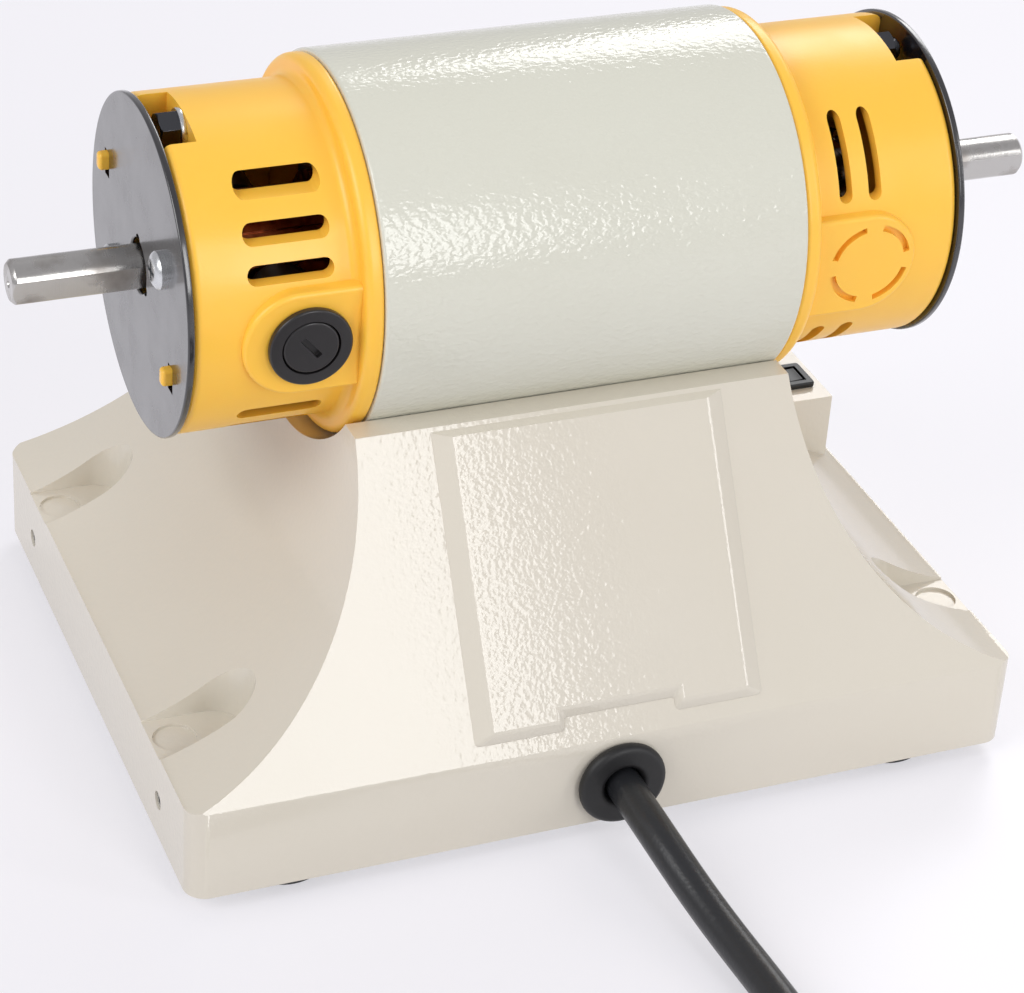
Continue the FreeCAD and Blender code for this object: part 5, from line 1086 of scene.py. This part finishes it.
# %% Switch
SWITCH_X, SWITCH_Y = -87.9, -27.5
CONSOLE_TOP = CONSOLE["top"]
bezel = prism("switch_frame", round_box(SWITCH_X - 7.5, SWITCH_X + 7.5, SWITCH_Y - 5.3,
                                        SWITCH_Y + 5.3, 1.0), "XY", CONSOLE_TOP, CONSOLE_TOP + 1.6)
ease(bezel, 0.45, 3, 50)
weld(bezel, block("switch_core", (SWITCH_X - 6.4, SWITCH_Y - 4.3, CONSOLE_TOP - 12),
                  (SWITCH_X + 6.4, SWITCH_Y + 4.3, CONSOLE_TOP + 0.5)))
carve(bezel, block("well", (SWITCH_X - 5.8, SWITCH_Y - 3.6, CONSOLE_TOP - 5.4),
                   (SWITCH_X + 5.8, SWITCH_Y + 3.6, CONSOLE_TOP + 3)))
tidy_mesh(bezel, 0.2)
smooth(bezel, 35)
finish_piece(bezel, "machine", SATIN_BLACK, "black_plastic", "switch_housing")

PIVOT_Z = CONSOLE_TOP - 0.6
dish = [(SWITCH_X + 5.2, PIVOT_Z + 3.1)]
for step in range(1, 12):
    share = 1 - step / 12
    dish.append((SWITCH_X + 5.2 * share, PIVOT_Z + 2.2 + 0.9 * share - 1.0 * share * (1 - share)))
dish.append((SWITCH_X, PIVOT_Z + 2.2))
for step in range(1, 12):
    share = step / 12
    dish.append((SWITCH_X - 5.2 * share, PIVOT_Z + 2.2 - 1.0 * share * (1 - share)))
dish.append((SWITCH_X - 5.2, PIVOT_Z + 2.2))
rocker_side = [(SWITCH_X - 5.2, PIVOT_Z), (SWITCH_X - 3.2, PIVOT_Z - 3),
               (SWITCH_X + 3.2, PIVOT_Z - 3), (SWITCH_X + 5.2, PIVOT_Z)] + dish
rocker = prism("power_rocker_key", rocker_side, "XZ", SWITCH_Y - 3, SWITCH_Y + 3)
ease(rocker, 0.35, 3, 40)
smooth(rocker, 40)
finish_piece(rocker, "power_rocker", SATIN_BLACK, "black_plastic", "switch_rocker")

# %% [markdown]
# The knob's skirt grips a stem below the console. Its grip is fluted by cutting the same round
# groove eighteen times, and a straight groove on top is the pointer.

# %% Knob
KNOB_X, KNOB_Y, KNOB_Z = -83.5, -52.5, CONSOLE_TOP + 0.6
knob_profile = [(-14.5, 0), (-14.5, 3), (3.2, 3), (3.2, 8.4), (0, 8.4), (0, 11.5), (2.4, 11.5),
                (3.4, 10.4), (14, 9.4), (14, 0)]
knob_turned = soften(knob_profile, 0.7, 3)
knob = lathe("speed_knob_cap", knob_turned, (KNOB_X, KNOB_Y, KNOB_Z), "Z", 108)
for flute in range(18):
    angle = math.radians(20 * flute)
    centre = (KNOB_X + 11.0 * math.cos(angle), KNOB_Y + 11.0 * math.sin(angle))
    groove = prism("flute", circle_outline(*centre, 1.2, 16), "XY", KNOB_Z + 3.4, KNOB_Z + 20)
    carve(knob, groove)
carve(knob, block("pointer", (KNOB_X + 3.4, KNOB_Y - 0.4, KNOB_Z + 13.6),
                  (KNOB_X + 12.4, KNOB_Y + 0.4, KNOB_Z + 20)))
tidy_mesh(knob, 0.2)
ease(knob, 0.18, 2, 40)
smooth(knob, 35)
finish_piece(knob, "speed_dial", SATIN_BLACK, "black_plastic", "speed_knob")

# %% [markdown]
# ## Plug
# The moulded plug lies on its side at the end of the lead: a ribbed relief that tapers to the
# lead, and a body with rounded corners that the pins stand out of.

# %% Plug
PLUG_LONG, PLUG_RELIEF, PLUG_HALF_HIGH = 32.0, 16.0, 13.1


def turn_to_plug(piece):
    """Turns a piece, made along X from the origin, to the end of the lead."""
    focus(piece)
    turned = Matrix.Rotation(plug_angle, 4, "Z")
    piece.matrix_world = Matrix.Translation(place(*plug_entry)) @ turned
    bpy.ops.object.transform_apply(location=True, rotation=True, scale=False)
    return piece


here = (-BASE_X, 0, 0)
relief_profile = [(0, 0), (0, 5.0)]
for rib in range(5):
    start = 1.2 + rib * 2.8
    radius = 5.3 + 0.35 * rib
    relief_profile += [(start, radius), (start + 1.7, radius + 0.1), (start + 1.7, radius - 0.9),
                       (start + 2.8, radius - 0.9)]
relief_profile += [(PLUG_RELIEF, 7.2), (PLUG_RELIEF + 2, 7.2), (PLUG_RELIEF + 2, 0)]
relief = lathe("relief", soften(relief_profile, 0.35, 2), here, "X", 48)
plug_shape = [(PLUG_RELIEF, -13), (PLUG_RELIEF + PLUG_LONG / 3, -17),
              (PLUG_RELIEF + PLUG_LONG, -17), (PLUG_RELIEF + PLUG_LONG, 17),
              (PLUG_RELIEF + PLUG_LONG / 3, 17), (PLUG_RELIEF, 13)]
plug = prism("plug_body", [(x - BASE_X, y) for x, y in plug_shape], "XY", -PLUG_HALF_HIGH,
             PLUG_HALF_HIGH)
ease(plug, 3.4, 6, 40)
weld(plug, relief)
tidy_mesh(plug, 0.2)
smooth(plug, 40)
turn_to_plug(plug)
finish_piece(plug, "machine", SHEATH, "black_rubber", "mains_plug_body")

front_x = PLUG_RELIEF + PLUG_LONG - BASE_X
pins = None
for side in (1, -1):
    blade = block("plug_pins", (front_x - 4, side * 6.35 - 0.75, -1.175),
                  (front_x + 17, side * 6.35 + 0.75, 5.175))
    ease(blade, 0.3, 2, 40)
    pins = blade if pins is None else weld(pins, blade)
earth = prism("earth", circle_outline(0, -7.5, 2.4, 24), "YZ", front_x - 4, front_x + 20)
ease(earth, 0.7, 3, 40)
weld(pins, earth)
smooth(pins, 40)
turn_to_plug(pins)
finish_piece(pins, "machine", BRASS, "pin_brass", "mains_plug_pins")

# %% [markdown]
# ## Parts that keep their CAD shape
# The cover, the screws and everything inside the motor already have their true shape in the
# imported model, so each only gets its finish.

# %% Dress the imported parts
DRESS = {
    "bottom_cover": ZINC, "cover_screw_left_rear": ZINC, "cover_screw_left_front": ZINC,
    "cover_screw_right_rear": ZINC, "cover_screw_right_front": ZINC,
    "stator_core": LAMINATION, "field_coil_upper": WINDING, "field_coil_lower": WINDING,
    "brush_end_plate_screw_upper": ZINC, "brush_end_plate_screw_lower": ZINC,
    "fan_end_plate_screw_upper": ZINC, "fan_end_plate_screw_lower": ZINC,
    "motor_mount_screw_left": BLACK_OXIDE, "motor_mount_screw_right": BLACK_OXIDE,
    "armature_core": LAMINATION, "armature_windings": WINDING, "commutator": COPPER,
    "cooling_fan": FAN_ALLOY, "brush_end_bearing_outer_ring": BEARING,
    "brush_end_bearing_inner_ring": BEARING, "brush_end_bearing_ball_cage": BEARING,
    "fan_end_bearing_outer_ring": BEARING, "fan_end_bearing_inner_ring": BEARING,
    "fan_end_bearing_ball_cage": BEARING, "carbon_brush_rear": CARBON,
    "carbon_brush_front": CARBON, "brush_spring_rear": BRASS, "brush_spring_front": BRASS,
    "speed_potentiometer": ZINC, "control_board": BOARD, "mains_lead_inner": SHEATH,
    "cord_clamp": CLIP_NYLON}
for name, material in DRESS.items():
    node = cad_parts[name]
    node.data.materials.clear()
    node.data.materials.append(material)
print("dressed", len(DRESS))

finish_piece(mains_lead, "machine", SHEATH, "cord_pvc", "power_cord", "power_cord_coil",
             "power_cord_tail")

# %% [markdown]
# ## Floor and background
# The picture is a machine on a white sheet. The sheet is white paper to the light that it gives
# back, but to the camera, and in reflections, most of it is a plain white glow, so it stays
# white and still shows a soft shadow under the machine.

# %% White sheet
PAPER = "#FCFBFF"
sheet_material = bpy.data.materials.new("white_sheet")
sheet_material.use_nodes = True
tree = sheet_material.node_tree
shader = tree.nodes["Principled BSDF"]
shader.inputs["Base Color"].default_value = tint("#EEECF2")
shader.inputs["Roughness"].default_value = 0.35
path = add(tree, "LightPath")
seen = add(tree, "Math", {0: path.outputs["Is Camera Ray"], 1: path.outputs["Is Glossy Ray"]},
           operation="MAXIMUM")
seen = add(tree, "Math", {0: seen.outputs[0], 1: path.outputs["Is Transmission Ray"]},
           operation="MAXIMUM")
share = add(tree, "Math", {0: seen.outputs[0], 1: 0.52}, operation="MULTIPLY")
glow = add(tree, "Emission", {"Color": tint(PAPER), "Strength": 1.0})
both = add(tree, "MixShader", {0: share.outputs[0], 1: shader.outputs["BSDF"],
                               2: glow.outputs["Emission"]})
tree.links.new(both.outputs["Shader"], tree.nodes["Material Output"].inputs["Surface"])

select_nothing()
bpy.ops.mesh.primitive_plane_add(size=6.0, location=(0, 0, -0.0002))
floor = bpy.context.object
floor.name = "studio_floor"
floor.data.materials.append(sheet_material)

# %% [markdown]
# The room is white too. It lights the machine at about half the strength at which the camera
# and the reflections see it, which leaves the lamps room to shape the surfaces.

# %% Room
world = bpy.data.worlds.new("studio")
bpy.context.scene.world = world
world.use_nodes = True
tree = world.node_tree
ground = tree.nodes["Background"]
ground.inputs["Color"].default_value = tint(PAPER)
path = add(tree, "LightPath")
seen = add(tree, "Math", {0: path.outputs["Is Camera Ray"], 1: path.outputs["Is Glossy Ray"]},
           operation="MAXIMUM")
seen = add(tree, "Math", {0: seen.outputs[0], 1: path.outputs["Is Transmission Ray"]},
           operation="MAXIMUM")
level = add(tree, "MapRange", {"Value": seen.outputs[0], "To Min": 0.52, "To Max": 0.55})
tree.links.new(level.outputs["Result"], ground.inputs["Strength"])

# %% [markdown]
# ## Lamps
# A tall softbox stands behind the camera, where the sloping face and the middle of the tube
# mirror it, so that the enamel sparkles there. A second one behind the machine draws the line of
# light along the top of the tube, a third fills the flank on the brush side, and a narrow one on
# the fan side draws bright lines along rounded edges.

# %% Softboxes
def softbox(name, power, wide, high, where, aim=(0, 0.03, 0.08)):
    select_nothing()
    bpy.ops.object.light_add(type="AREA", location=where)
    lamp = bpy.context.object
    lamp.name = name
    lamp.data.shape = "RECTANGLE"
    lamp.data.size = wide
    lamp.data.size_y = high
    lamp.data.energy = power
    lamp.rotation_euler = (Vector(where) - Vector(aim)).to_track_quat("Z", "Y").to_euler()
    return lamp


softbox("camera_side", 4.4, 0.34, 0.7, (-0.245, 1.2, 0.62))
softbox("behind", 6.5, 0.75, 0.6, (-0.78, -0.85, 0.92))
softbox("brush_side", 8.5, 0.8, 0.8, (1.1, 0.35, 0.9))
softbox("fan_side", 3.0, 0.22, 0.8, (-0.98, 0.9, 0.55))
bpy.context.scene.view_settings.view_transform = "Standard"
